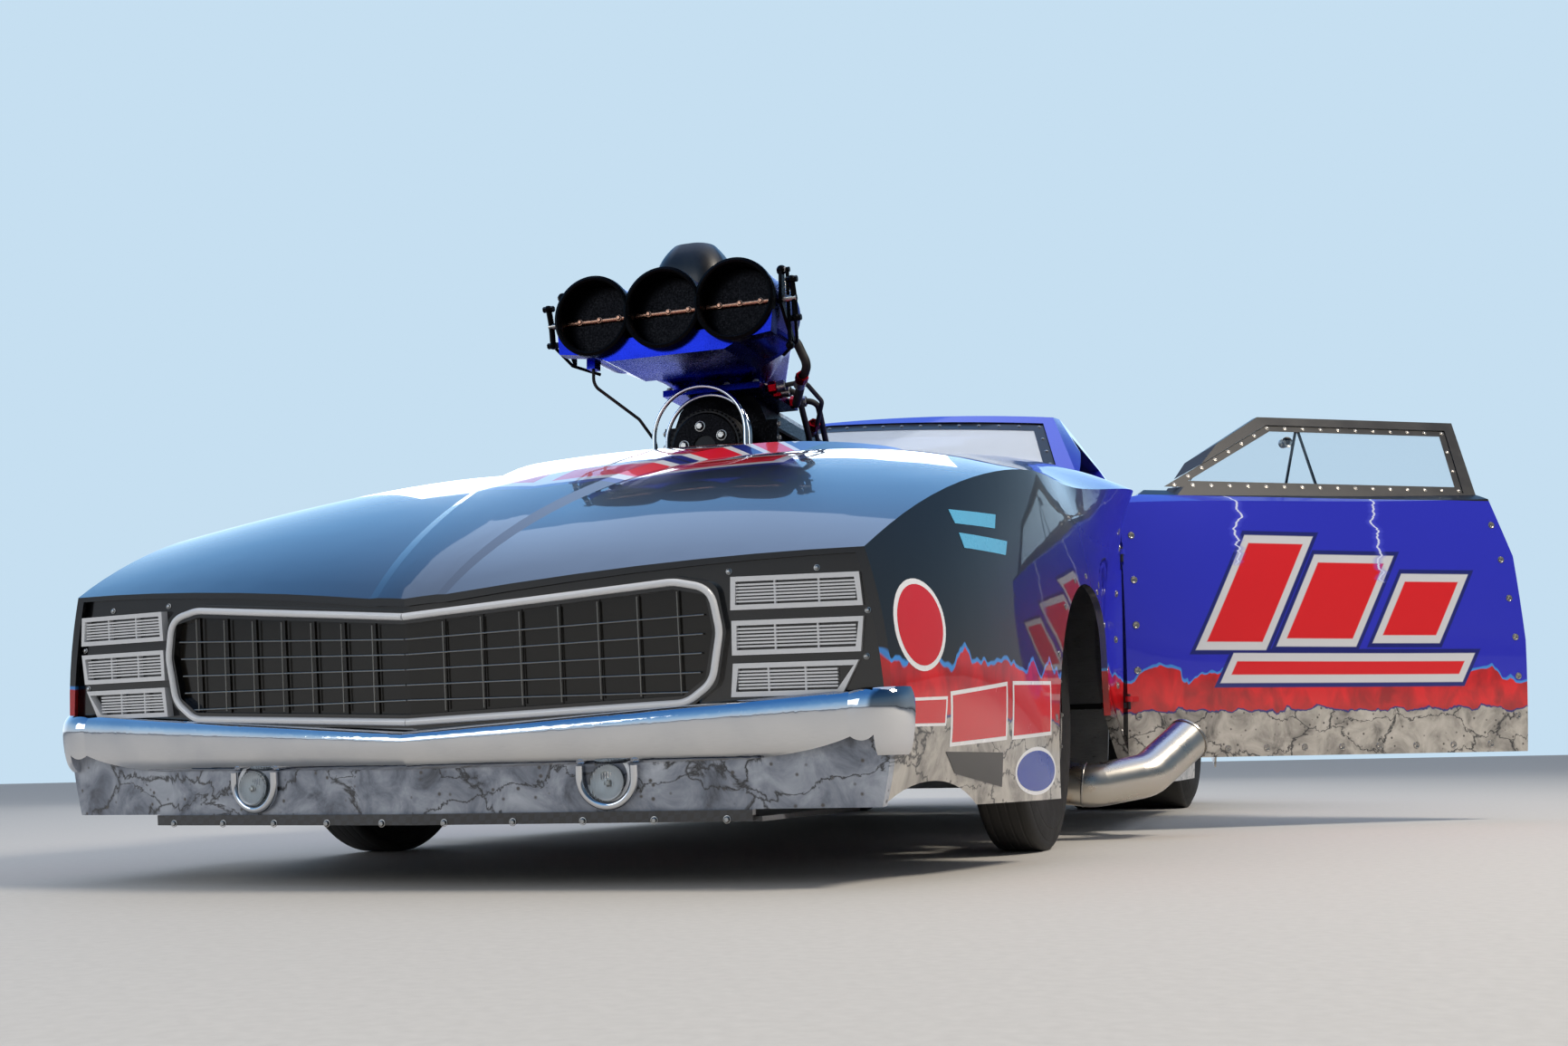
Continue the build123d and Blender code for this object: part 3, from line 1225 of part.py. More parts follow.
def rear_axle():
    z = REAR_TYRE_R
    tube = rod((-AXLE_END_X, WHEELBASE, z), (AXLE_END_X, WHEELBASE, z), AXLE_R)
    diff = drum_y((0, WHEELBASE - DIFF_HALF, z), DIFF_R, 2 * DIFF_HALF)
    pieces = [tube, diff]
    for x in (-LINK_SIDE_X, LINK_SIDE_X):
        pieces.append(box(x - 12, x + 12, WHEELBASE - 70, WHEELBASE + 70, z - 190, z + 90))
        pieces.append(rod((x, WHEELBASE - 40, z - 170), (x, 2500, RAIL_Z + 30), 14))
        pieces.append(rod((x, WHEELBASE - 40, z + 60), (x, 2480, 400), 14))
        pieces.append(rod((x, WHEELBASE + 50, z - 60), (x, WHEELBASE + 90, 780), 30))
    axle = joined(pieces) - seat_rod((-RAIL_X, 2500, RAIL_Z), (RAIL_X, 2500, RAIL_Z), TUBE)
    return largest(axle)


TUB_R = 465.0
TUB_SHEET = 3.0
TUB_INNER_X = 371.1
TUB_BOTTOM_Z = 260.0
TUB_WIDE = 620.0
TUB_HOLE_R = 90.0


def wheel_tubs():
    y, z = WHEELBASE, REAR_TYRE_R
    outer = drum_x((TUB_INNER_X, y, z), TUB_R, TUB_WIDE)
    inner = drum_x((TUB_INNER_X + TUB_SHEET, y, z), TUB_R - TUB_SHEET, TUB_WIDE)
    axle_hole = drum_x((TUB_INNER_X - 20, y, z), TUB_HOLE_R, 40)
    room = body_volume(REAR_STATIONS, SKIN + SEAT_GAP, 60) & box(0, 1200, 2000, 3700, TUB_BOTTOM_Z, 1200)
    return both(((outer - inner - axle_hole) & room).solids()[0])


def driveline():
    bell = drum_y((0, ENGINE_Y1 + SEAT_GAP, CRANK_Z), BELL_R, 180)
    gear = drum_y((0, 900, CRANK_Z), 95, 640)
    # The tilted end of the shaft comes to rest against the flat face of the axle's middle
    shaft = rod((0, 1500, CRANK_Z), (0, WHEELBASE - DIFF_HALF - 3.4, REAR_TYRE_R), 40)
    return joined([bell, gear, shaft])


# Wheelie bars
BAR_END_Y = 4680.0
BAR_WHEEL_R = 62.0
BAR_WHEEL_Z = 112.0
BAR_WHEEL_X = 130.0
BAR_WHEEL_HALF = 18.0
BAR_AXLE_R = 8.0
BAR_END_X = 84.0
BAR_FRONT_Z = 300.0
BAR_STAY_Z = 480.0
BAR_CROSS_AT = [0.35, 0.7]  # places of the cross tubes, as parts of the bars' length


def wheelie_bars():
    pieces = []
    stay_y = WHEELBASE + 500
    z = BAR_WHEEL_Z
    for side in (-1, 1):
        x = side * BAR_END_X
        end = (x, BAR_END_Y - 20, z)
        pieces.append(rod((side * LINK_SIDE_X, WHEELBASE + 70 + SEAT_GAP, BAR_FRONT_Z), end, 14))
        pieces.append(rod((side * LINK_SIDE_X, stay_y, BAR_STAY_Z), end, 12))
        pieces.append(box(x - 6, x + 6, BAR_END_Y - 50, BAR_END_Y + 20, z - 18, z + 18))
    for t in BAR_CROSS_AT:
        y = WHEELBASE + 60 + (BAR_END_Y - 80 - WHEELBASE) * t
        x = LINK_SIDE_X + (BAR_END_X - LINK_SIDE_X) * t
        h = BAR_FRONT_Z + (z - BAR_FRONT_Z) * t
        pieces.append(rod((-x, y, h), (x, y, h), 10))
    pieces.append(rod((-BAR_END_X, BAR_END_Y - 40, z), (BAR_END_X, BAR_END_Y - 40, z), 10))
    pieces.append(rod((-RAIL_X, stay_y, BAR_STAY_Z), (RAIL_X, stay_y, BAR_STAY_Z), 14))
    bars = joined(pieces) - seat_rod((-200, BAR_END_Y, z), (200, BAR_END_Y, z), BAR_AXLE_R)
    for side in (-1, 1):
        x = side * LINK_SIDE_X
        bars = bars - box(x - 20, x + 20, WHEELBASE, WHEELBASE + 70 + SEAT_GAP, 200, 600)
        bars = bars - seat_rod((side * RAIL_X, 3420, 100), (side * RAIL_X, 3420, 640), TUBE + WELD)
    return largest(bars)


def wheelie_wheels():
    y, z = BAR_END_Y, BAR_WHEEL_Z
    wheels = [drum_x((x - BAR_WHEEL_HALF, y, z), BAR_WHEEL_R, 2 * BAR_WHEEL_HALF)
              for x in (-BAR_WHEEL_X, BAR_WHEEL_X)]
    return joined([*wheels, rod((-BAR_WHEEL_X, y, z), (BAR_WHEEL_X, y, z), BAR_AXLE_R)])


def main():
    os.makedirs("parts", exist_ok=True)
    save("front_clip", front_clip())
    save("nose_panel", nose_panel())
    save("front_valance", front_valance())
    save("splitter", splitter())
    save("grille_ring", grille_ring())
    save("grille_panel", grille_panel())
    save("headlight_covers", headlight_covers())
    save("front_bumper", front_bumper())
    save("turn_signal_rings", turn_signal_rings())
    save("turn_signal_lenses", turn_signal_lenses())
    save("hood_hoops", hood_hoops())
    save("engine_block", engine_block())
    save("blower", blower())
    save("belt_drive", belt_drive())
    save("injector_hat", injector_hat())
    save("injector_cover", injector_cover())
    save("throttle_linkage", throttle_linkage())
    save("fuel_hoses", fuel_hoses())
    save("exhaust_headers", exhaust_headers())
    outer = rear_outer()
    inner = rear_inner(SKIN, PILLAR, SKIN)
    save("body_shell", body_shell(outer, inner))
    save("deck_lid", deck_lid(outer, inner))
    save("windshield", windshield())
    save("rear_windows", rear_windows())
    door, frame = door_parts(outer)
    pane = door_glass()
    save("driver_door", opened(door))
    save("driver_door_frame", opened(frame))
    save("driver_door_window", opened(pane))
    save("passenger_door", mirrored(door))
    save("passenger_door_frame", mirrored(frame))
    save("passenger_door_window", mirrored(pane))
    save("rear_spoiler", rear_spoiler())
    save("tail_lamps", tail_lamps())
    save("rear_bumper", rear_bumper())
    save("parachutes", parachutes())
    save("chassis_frame", chassis_frame())
    save("floor_and_firewall", floor_and_firewall())
    save("seat", seat())
    save("dashboard", dashboard())
    save("steering_wheel", steering_wheel())
    save("front_suspension", front_suspension())
    save("rear_axle", rear_axle())
    save("wheel_tubs", wheel_tubs())
    save("driveline", driveline())
    save("wheelie_bars", wheelie_bars())
    save("wheelie_wheels", wheelie_wheels())
    for side, turn in (("left", lambda s: s), ("right", mirrored)):
        save(f"knuckle_{side}", turn(knuckle()))
        save(f"front_tyre_{side}", turn(front_tyre()))
        save(f"front_rim_{side}", turn(front_rim()))
        save(f"rear_tyre_{side}", turn(rear_tyre()))
        save(f"rear_rim_{side}", turn(rear_rim()))


main()
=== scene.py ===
import logging
import math
from dataclasses import dataclass, field
from enum import Enum
from functools import partial
from typing import Callable, Sequence

import bmesh
import bpy
from mathutils import Matrix, Vector
from mathutils.bvhtree import BVHTree


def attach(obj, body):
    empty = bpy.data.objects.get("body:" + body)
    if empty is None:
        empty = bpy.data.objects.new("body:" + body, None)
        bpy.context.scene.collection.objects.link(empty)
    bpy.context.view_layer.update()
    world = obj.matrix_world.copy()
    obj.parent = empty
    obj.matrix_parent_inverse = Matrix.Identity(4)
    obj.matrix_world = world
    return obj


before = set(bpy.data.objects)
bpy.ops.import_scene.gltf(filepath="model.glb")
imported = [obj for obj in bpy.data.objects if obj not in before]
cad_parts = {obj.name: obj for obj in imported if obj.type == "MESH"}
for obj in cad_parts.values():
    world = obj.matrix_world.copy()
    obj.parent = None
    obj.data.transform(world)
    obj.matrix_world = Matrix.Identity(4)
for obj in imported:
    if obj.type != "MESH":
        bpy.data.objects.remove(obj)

log = logging.getLogger("drag_coupe")

Point = Sequence[float]
Outline = Sequence[Point]
Colour = tuple[float, float, float, float]
Turn = Callable[[Vector], Vector]
Surface = Callable[[float, float, float], Vector]
Tree, Node, Socket = bpy.types.NodeTree, bpy.types.Node, bpy.types.NodeSocket
Material = bpy.types.Material
Adder = Callable[..., Node]
Bars = Sequence[tuple[float, float, float, float, float]]
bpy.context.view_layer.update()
PHOTO_WIDTH = 1732
SOFT_ANGLE = 35.0      # edges flatter than this many degrees are shaded smooth

# The part's origin, seen from the front axle line on the ground, in metres
ORIGIN = Vector((0.410, 1.779, 0.0))
HINGE = Vector((0.924, 0.808, 0.0)) - ORIGIN
DOOR_ANGLE = math.radians(56.0)

# Along the part, the livery changes from the nose's to the doors' between these, in metres
NOSE_END, DOOR_START = -1.75, -1.05

# Scales of the patterns, in repeats per metre
PAINT_FLAKE = 900.0      # about 1 mm, coarser than real flakes so that they show
ORANGE_PEEL = 160.0      # ripples of 6 mm
STONE_MOTTLE = 14.0      # clouds of 70 mm
STONE_PIT = 42.0         # pits 24 mm apart
LIGHTNING_JAG = 16.0     # bends every 60 mm
METAL_CLOUD = 7.0        # handling marks of 140 mm
DUST_CLOUD = 9.0         # dust patches of 110 mm
WIPE_HAZE = 6.0          # wiping haze of 170 mm
HEAT_CLOUD = 16.0        # heat stains of 60 mm
STEEL_GRAIN = 320.0      # 3 mm, coarser than the real grain so that it shows
RUBBER_WEAR = 22.0       # scuffs of 45 mm
RUBBER_GRAIN = 420.0     # 2.4 mm, coarser than the real grain so that it shows
FLOOR_SPECK = 60.0       # specks of 17 mm


def car(x: float, y: float, z: float) -> Vector:
    """Turns millimetres from the front axle line into the part's metres."""
    return Vector((x, y, z)) / 1000.0 - ORIGIN


def opened(point: Vector) -> Vector:
    """Carries a point of the shut driver's door to where the open door holds it."""
    return HINGE + Matrix.Rotation(-DOOR_ANGLE, 3, "Z") @ (point - HINGE)


def mirrored(point: Vector) -> Vector:
    """Carries a point of the driver's side to the passenger's side, and back."""
    return Vector((-2 * ORIGIN.x - point.x, point.y, point.z))


def mirrored_open(point: Vector) -> Vector:
    """Carries a point of the passenger's door to the driver's door as it stands open."""
    return opened(mirrored(point))


def as_is(point: Vector) -> Vector:
    """Leaves a point where it is."""
    return point


def linear(colour: str) -> Colour:
    """Turns an sRGB hex colour into the linear values that the shaders take."""
    parts = [int(colour[i:i + 2], 16) / 255.0 for i in (1, 3, 5)]
    return (*[c / 12.92 if c <= 0.04045 else ((c + 0.055) / 1.055) ** 2.4 for c in parts], 1.0)


def add_node(tree: Tree, kind: str, inputs: dict | None = None, **settings) -> Node:
    """Adds a shader node with its settings, values and links.

    Args:
        tree: the tree that gets the node.
        kind: the node's type name without the leading "ShaderNode".
        inputs: a value or a socket to link for each input, by name or number.
        settings: attributes of the node itself.

    Returns:
        The new node.
    """
    made = tree.nodes.new("ShaderNode" + kind)
    for name, value in settings.items():
        setattr(made, name, value)
    for key, value in (inputs or {}).items():
        socket = made.inputs[key]
        if isinstance(value, Socket):
            tree.links.new(value, socket)
        elif isinstance(value, Node):
            tree.links.new(value.outputs[0], socket)
        else:
            socket.default_value = value
    return made


def set_stops(ramp: bpy.types.ColorRamp, stops: Sequence[tuple[float, str]]) -> None:
    """Gives a colour ramp exactly these stops.

    Args:
        ramp: the ramp of a new node.
        stops: the position and the hex colour of each stop, in order.
    """
    while len(ramp.elements) < len(stops):
        ramp.elements.new(0.5)
    for element, (spot, tone) in zip(ramp.elements, stops):
        element.position, element.color = spot, linear(tone)


def around(outline: Outline) -> list[tuple[Point, Point]]:
    """Gives the sides of a closed outline, each as its two ends."""
    return list(zip(outline, [*outline[1:], outline[0]]))


class Skin:
    """The outside of a CAD node, on which small pieces are seated."""

    def __init__(self, node: str) -> None:
        """Takes the node's faces as they stand at rest.

        Args:
            node: the CAD node's name.
        """
        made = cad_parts[node]
        points = [made.matrix_world @ v.co for v in made.data.vertices]
        self.tree = BVHTree.FromPolygons(points, [tuple(p.vertices) for p in made.data.polygons])

    def meet(self, start: Point, way: Point) -> tuple[Vector, Vector]:
        """Finds where a ray first meets the skin.

        Args:
            start: where the ray starts.
            way: its direction.

        Returns:
            The place, and the direction straight out of the skin there.
        """
        place, out, _, _ = self.tree.ray_cast(Vector(start), Vector(way).normalized())
        if place is None:
            raise ValueError(f"no skin on the way from {tuple(start)}")
        return place, out if out.dot(Vector(way)) < 0 else -out


class Piece:
    """One mesh in the making: faces are added in metres, then dressed and put on its body."""

    def __init__(self, name: str) -> None:
        """Starts an empty piece of that name."""
        self.name = name
        self.bm = bmesh.new()

    def lathe(self, profile: Sequence[tuple[float, float]], origin: Point, axis: Point,
              steps: int = 40, closed: bool = False) -> None:
        """Turns a profile of (distance along the axis, radius) round an axis.

        Args:
            profile: the points of the profile.
            origin: where the axis starts.
            axis: the direction of the axis.
            steps: the number of facets round it.
            closed: whether the last point joins the first.
        """
        spin = Vector(axis).normalized()
        side = spin.orthogonal().normalized()
        across = spin.cross(side)
        rings = []
        for along, radius in profile:
            middle = Vector(origin) + spin * along
            if radius < 1e-6:
                rings.append([self.bm.verts.new(middle)])
                continue
            angles = [2 * math.pi * n / steps for n in range(steps)]
            rings.append([self.bm.verts.new(
                middle + radius * (side * math.cos(a) + across * math.sin(a))) for a in angles])
        pairs = list(zip(rings, rings[1:]))
        if closed:
            pairs.append((rings[-1], rings[0]))
        for low, high in pairs:
            for n in range(steps):
                m = (n + 1) % steps
                if len(low) == 1 and len(high) > 1:
                    self.bm.faces.new((low[0], high[m], high[n]))
                elif len(high) == 1 and len(low) > 1:
                    self.bm.faces.new((low[n], low[m], high[0]))
                elif len(low) > 1:
                    self.bm.faces.new((low[n], low[m], high[m], high[n]))

    def tube(self, points: Sequence[Point], radius: float, sides: int = 10, closed: bool = False,
             flat: float = 1.0) -> None:
        """Sweeps a round or flattened bar along points, with flat ends where it is open.

        Args:
            points: the bar's middle line.
            radius: its radius.
            sides: the number of facets round it.
            closed: whether it runs round into itself.
            flat: its thickness as a share of its width.
        """
        path = [Vector(p) for p in points]
        count = len(path)
        rings = []
        normal = None
        for n, p in enumerate(path):
            before = path[n - 1] if n or closed else p
            after = path[(n + 1) % count] if n < count - 1 or closed else p
            ahead = (after - before).normalized()
            if normal is None:
                normal = Vector((0, 0, 1)).cross(ahead)
                if normal.length < 0.1:
                    normal = Vector((1, 0, 0)).cross(ahead)
            normal = (normal - ahead * normal.dot(ahead)).normalized()
            across = ahead.cross(normal)
            rings.append([self.bm.verts.new(
                p + radius * (normal * math.cos(a) + across * math.sin(a) * flat))
                for a in (2 * math.pi * k / sides for k in range(sides))])
        last = count if closed else count - 1
        for n in range(last):
            low, high = rings[n], rings[(n + 1) % count]
            for k in range(sides):
                m = (k + 1) % sides
                self.bm.faces.new((low[k], low[m], high[m], high[k]))
        if not closed:
            self.bm.faces.new(list(reversed(rings[0])))
            self.bm.faces.new(rings[-1])

    def slab(self, outline: Outline, depth: Point, bevel: float = 0.0) -> None:
        """Pushes a flat outline along a direction.

        Args:
            outline: the corners of one face.
            depth: the direction and the distance to the other face.
            bevel: the rounding of the edges, or 0 for none.
        """
        low = [self.bm.verts.new(Vector(p)) for p in outline]
        high = [self.bm.verts.new(Vector(p) + Vector(depth)) for p in outline]
        count = len(low)
        faces = [self.bm.faces.new(list(reversed(low))), self.bm.faces.new(high)]
        for n in range(count):
            m = (n + 1) % count
            faces.append(self.bm.faces.new((low[n], low[m], high[m], high[n])))
        if bevel:
            edges = {e for f in faces for e in f.edges}
            bmesh.ops.bevel(self.bm, geom=list(edges), offset=bevel, segments=2, affect="EDGES",
                            profile=0.6)

    def block(self, low: Point, high: Point, bevel: float = 0.0) -> None:
        """Adds a box between two corners, with rounded edges."""
        (x0, y0, z0), (x1, y1, z1) = low, high
        self.slab([(x0, y0, z0), (x1, y0, z0), (x1, y1, z0), (x0, y1, z0)], (0, 0, z1 - z0), bevel)

    def sheet(self, rows: Sequence[Sequence[tuple[Vector, Vector]]], lift: float,
              closed: bool = False) -> None:
        """Lays a thin film on a skin.

        Args:
            rows: rows of places with their outward directions.
            lift: how far the film's outer face stands off the skin, in metres.
            closed: whether each row runs round into itself.
        """
        layers = [[[self.bm.verts.new(place + out * rise) for place, out in row] for row in rows]
                  for rise in (lift * 0.3, lift)]
        count = len(rows[0])
        steps = range(count if closed else count - 1)
        pairs = [pair for grid in layers for pair in zip(grid, grid[1:])]
        pairs += [(layers[0][k], layers[1][k]) for k in (0, -1)]
        for low, high in pairs:
            for n in steps:
                m = (n + 1) % count
                self.bm.faces.new((low[n], low[m], high[m], high[n]))
        if not closed:
            for k in (0, -1):
                low, high = [row[k] for row in layers[0]], [row[k] for row in layers[1]]
                for n in range(len(low) - 1):
                    self.bm.faces.new((low[n], low[n + 1], high[n + 1], high[n]))

    def spring(self, start: Point, end: Point, radius: float, wire: float, turns: int) -> None:
        """Winds a coil spring between two points.

        Args:
            start: the middle of its first turn.
            end: the middle of its last turn.
            radius: the radius of the coil.
            wire: the radius of the wire.
            turns: the number of turns.
        """
        a, b = Vector(start), Vector(end)
        ahead = (b - a).normalized()
        side = ahead.orthogonal().normalized()
        across = ahead.cross(side)
        per_turn = 14
        count = turns * per_turn
        points = []
        for n in range(count + 1):
            angle = 2 * math.pi * n / per_turn
            points.append(a + (b - a) * n / count
                          + radius * (side * math.cos(angle) + across * math.sin(angle)))
        self.tube(points, wire, 8)

    def screw(self, place: Point, out: Point, radius: float, height: float, sides: int = 6) -> None:
        """Adds a round washer with a head on it, standing out from a surface.

        Args:
            place: where it sits.
            out: the direction out of the surface.
            radius: the head's radius.
            height: how far the head would stand out before its top is cut.
            sides: the number of facets of the head, 6 for a hexagon.
        """
        self.lathe([(0, radius * 1.45), (height * 0.25, radius * 1.45),
                    (height * 0.3, radius * 1.2)], place, out, 14)
        head = Vector(place) + Vector(out).normalized() * height * 0.3
        self.lathe([(0, radius), (height * 0.55, radius), (height * 0.7, radius * 0.8),
                    (height * 0.7, 0)], head, out, sides)

    def done(self, wears: str, body: str, slot: str) -> None:
        """Makes the object, gives it its material and puts it on its body.

        Args:
            wears: the name of its finish.
            body: the body that it moves with.
            slot: not used.
        """
        bmesh.ops.recalc_face_normals(self.bm, faces=self.bm.faces)
        mesh = bpy.data.meshes.new(self.name)
        self.bm.to_mesh(mesh)
        self.bm.free()
        made = bpy.data.objects.new(self.name, mesh)
        bpy.context.scene.collection.objects.link(made)
        mesh.materials.append(finish(wears))
        mesh.shade_smooth()
        mesh.set_sharp_from_angle(angle=math.radians(SOFT_ANGLE))
        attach(made, body)
        log.info("%s: %d faces on %s", self.name, len(mesh.polygons), body)


class Side(Enum):
    """Which way a painted panel stands in the part."""

    SHUT = 0.0
    OPEN = DOOR_ANGLE


@dataclass(frozen=True)
class Finish:
    """A surface finish: subclasses say in draw() what goes into the shader's sockets."""

    name: str

    def draw(self, add: Adder, place: Socket) -> dict:
        """Returns what goes into the shader's sockets, for a point in the part's frame."""
        return {}

    def build(self) -> Material:
        """Makes the material, with a Principled shader joined to its output.

        Returns:
            The material.
        """
        material = bpy.data.materials.new(self.name)
        material.use_nodes = True
        tree = material.node_tree
        tree.nodes.clear()
        add = partial(add_node, tree)
        place = add("TexCoord").outputs["Object"]
        shader = add("BsdfPrincipled", self.draw(add, place))
        add("OutputMaterial", {"Surface": shader})
        return material


@dataclass(frozen=True)
class ShowPaint(Finish):
    """Sprayed show livery on moulded carbon panels, under a thick clear coat.

    A near-black navy nose turns royal blue towards the doors. Below it a red band licks up
    in flame-like tongues with a light blue pinstripe, over a band of mottled pale stone with
    dark cracks. The clear coat gives sharp reflections over the softer colour beneath.
    """

    side: Side = Side.SHUT
    band_shift: float = 0.0
    slashes: bool = False
    hood_flash: bool = False
    navy: str = "#02040a"
    blue: str = "#262ac0"
    red: str = "#e01018"
    deep_red: str = "#9c0a12"
    pinstripe: str = "#3c8fe0"
    stone_light: str = "#b3aea6"
    stone_mid: str = "#8a8680"
    stone_dark: str = "#4a4744"
    stone_pale: str = "#cdc9c1"
    crack: str = "#14161d"
    pit: str = "#45413f"
    white: str = "#d6d8dc"
    outline: str = "#141c74"
    glow: str = "#5b63e6"
    bolt: str = "#dfe6ff"
    # Heights in metres at which the bands would end without their tongues
    pinstripe_top: float = 0.334
    red_top: float = 0.327
    seam_top: float = 0.280
    stone_top: float = 0.275
    fender_droop: float = 0.050
    hood_low: float = 0.72

    def bars(self, add: Adder, along: Socket, up: Socket, rows: Bars) -> Node:
        """Measures how far a point lies outside a set of slanted bars.

        Args:
            add: adds a node to the material.
            along: the coordinate along the panel.
            up: the coordinate up the panel.
            rows: middle along, middle up, half length, half height and slant of each bar.

        Returns:
            The node with the distance in metres, below 0 inside a bar.
        """
        nearest = None
        for middle, height, half_along, half_up, slant in rows:
            rise = add("Math", {0: up, 1: height}, operation="SUBTRACT")
            lean = add("Math", {0: rise, 1: slant, 2: middle}, operation="MULTIPLY_ADD")
            offset = add("Math", {0: along, 1: lean}, operation="SUBTRACT")
            reach = add("Math", {0: offset}, operation="ABSOLUTE")
            climb = add("Math", {0: rise}, operation="ABSOLUTE")
            wide = add("Math", {0: reach, 1: half_along}, operation="SUBTRACT")
            tall = add("Math", {0: climb, 1: half_up}, operation="SUBTRACT")
            distance = add("Math", {0: wide, 1: tall}, operation="MAXIMUM")
            if nearest is None:
                nearest = distance
            else:
                nearest = add("Math", {0: nearest, 1: distance}, operation="MINIMUM")
        return nearest

    def painted(self, add: Adder, under: Socket, over: Socket | Colour, value: Node, limit: float,
                soft: float = 0.0015, full: float = 1.0, held: Node | None = None) -> Socket:
        """Lays a colour over another wherever a value is under a limit.

        Args:
            add: adds a node to the material.
            under: the colour so far.
            over: the colour that is laid on it.
            value: what is compared with the limit.
            limit: where the new colour ends.
            soft: half the width of its edge, in the value's own unit.
            full: how much of the new colour shows well inside.
            held: a mask that the new colour keeps to.

        Returns:
            The colour with the new one on it.
        """
        mask = add("MapRange", {"Value": value, "From Min": limit - soft, "From Max": limit + soft,
            "To Min": full, "To Max": 0.0})
        if held is not None:
            mask = add("Math", {0: mask, 1: held}, operation="MULTIPLY")
        return add("Mix", {0: mask, 6: under, 7: over}, data_type="RGBA").outputs[2]

    def stone(self, add: Adder, place: Socket) -> Socket:
        """Draws mottled stone with cracks and pits.

        Args:
            add: adds a node to the material.
            place: the point in the part's frame.

        Returns:
            The stone's colour.
        """
        mottle = add("TexNoise", {"Vector": place, "Scale": STONE_MOTTLE, "Detail": 6.0,
            "Roughness": 0.62, "Distortion": 0.6})
        tones = add("ValToRGB", {0: mottle})
        set_stops(tones.color_ramp, ((0.28, self.stone_dark), (0.40, self.stone_mid),
            (0.55, self.stone_light), (0.75, self.stone_pale)))
        warped = add("Mix", {0: 0.09, 4: place, 5: mottle.outputs["Color"]}, data_type="VECTOR")
        # Cracks run along the car, so their cells are 200 mm long and 90 mm high
        drawn = add("VectorMath", {0: warped.outputs[1], 1: (5.0, 5.0, 11.0)}, operation="MULTIPLY")
        cells = add("TexVoronoi", {"Vector": drawn, "Scale": 1.0}, feature="DISTANCE_TO_EDGE")
        pits = add("TexVoronoi", {"Vector": place, "Scale": STONE_PIT})
        colour = self.painted(add, tones.outputs[0], linear(self.crack), cells, 0.014, 0.012)
        return self.painted(add, colour, linear(self.pit), pits, 0.13, 0.05)

    def door_art(self, add: Adder, colour: Socket, along: Socket, up: Socket) -> Socket:
        """Draws a door's slanted bars and its two thin lightning lines.

        Args:
            add: adds a node to the material.
            colour: the colour so far.
            along: the coordinate along the car.
            up: the height.

        Returns:
            The colour with the door's art on it.
        """
        bars = self.bars(add, along, up, DOOR_BARS)
        for limit, tone in ((0.034, self.outline), (0.022, self.white), (0.0, self.red)):
            colour = self.painted(add, colour, linear(tone), bars, limit)
        for middle, reach in ((-0.62, 0.70), (-0.18, 0.66)):
            jag = add("TexNoise", {"Vector": add("CombineXYZ", {2: up, 1: middle}),
                "Scale": LIGHTNING_JAG, "Detail": 4.0})
            # The noise lies near 0.5, so half its swing comes off again
            line = add("Math", {0: jag, 1: 0.16, 2: middle - 0.08}, operation="MULTIPLY_ADD")
            gap = add("Math", {0: along, 1: line}, operation="SUBTRACT")
            off = add("Math", {0: gap}, operation="ABSOLUTE")
            above = add("MapRange", {"Value": up, "From Min": reach, "From Max": reach + 0.01})
            colour = self.painted(add, colour, linear(self.glow), off, 0.010, 0.010, 0.55, above)
            colour = self.painted(add, colour, linear(self.bolt), off, 0.003, 0.0015, held=above)
        return colour

    def hood_art(self, add: Adder, colour: Socket, split: Node) -> Socket:
        """Draws the slanted bars on both halves of the hood.

        Args:
            add: adds a node to the material.
            colour: the colour so far.
            split: the point's coordinates.

        Returns:
            The colour with the hood's art on it.
        """
        beside = add("Math", {0: split.outputs["X"], 1: ORIGIN.x}, operation="ADD")
        width = add("Math", {0: beside}, operation="ABSOLUTE")
        flash = self.bars(add, split.outputs["Y"], width.outputs[0], HOOD_BARS)
        high = add("MapRange", {"Value": split.outputs["Z"], "From Min": self.hood_low,
            "From Max": self.hood_low + 0.002})
        for limit, tone in ((0.052, self.outline), (0.027, self.white), (0.0, self.red)):
            colour = self.painted(add, colour, linear(tone), flash, limit, held=high)
        return colour

    def draw(self, add: Adder, place: Socket) -> dict:
        """Draws the livery, its bands and its art.

        Args:
            add: adds a node to the material.
            place: the point in the part's frame.

        Returns:
            What goes into the shader's sockets.
        """
        if self.side is Side.OPEN:
            place = add("VectorRotate", {"Vector": place, "Center": HINGE,
                "Angle": self.side.value}, rotation_type="Z_AXIS").outputs[0]
        split = add("SeparateXYZ", {0: place})
        along, up = split.outputs["Y"], split.outputs["Z"]
        # The bands stand lower on the fenders than on the doors
        droop = add("MapRange", {"Value": along, "From Min": NOSE_END, "From Max": DOOR_START,
            "To Min": self.fender_droop, "To Max": 0.0}, interpolation_type="SMOOTHSTEP")
        level = add("Math", {0: up, 1: droop}, operation="ADD")
        # Tongues 60 to 120 mm wide lean back along the car
        tongue_place = add("VectorMath", {0: place, 1: (2.0, 9.0, 3.2)}, operation="MULTIPLY")
        tongues = add("TexNoise", {"Vector": tongue_place, "Scale": 1.0, "Detail": 2.5,
            "Distortion": 0.7})
        red_edge = add("Math", {0: tongues, 1: -0.17, 2: level}, operation="MULTIPLY_ADD")
        # The stone's upper edge is torn in steps of 20 to 60 mm
        torn_place = add("VectorMath", {0: place, 1: (6.0, 16.0, 10.0)}, operation="MULTIPLY")
        torn = add("TexNoise", {"Vector": torn_place, "Scale": 1.0, "Detail": 4.0,
            "Distortion": 0.4})
        stone_edge = add("Math", {0: torn, 1: -0.07, 2: level}, operation="MULTIPLY_ADD")

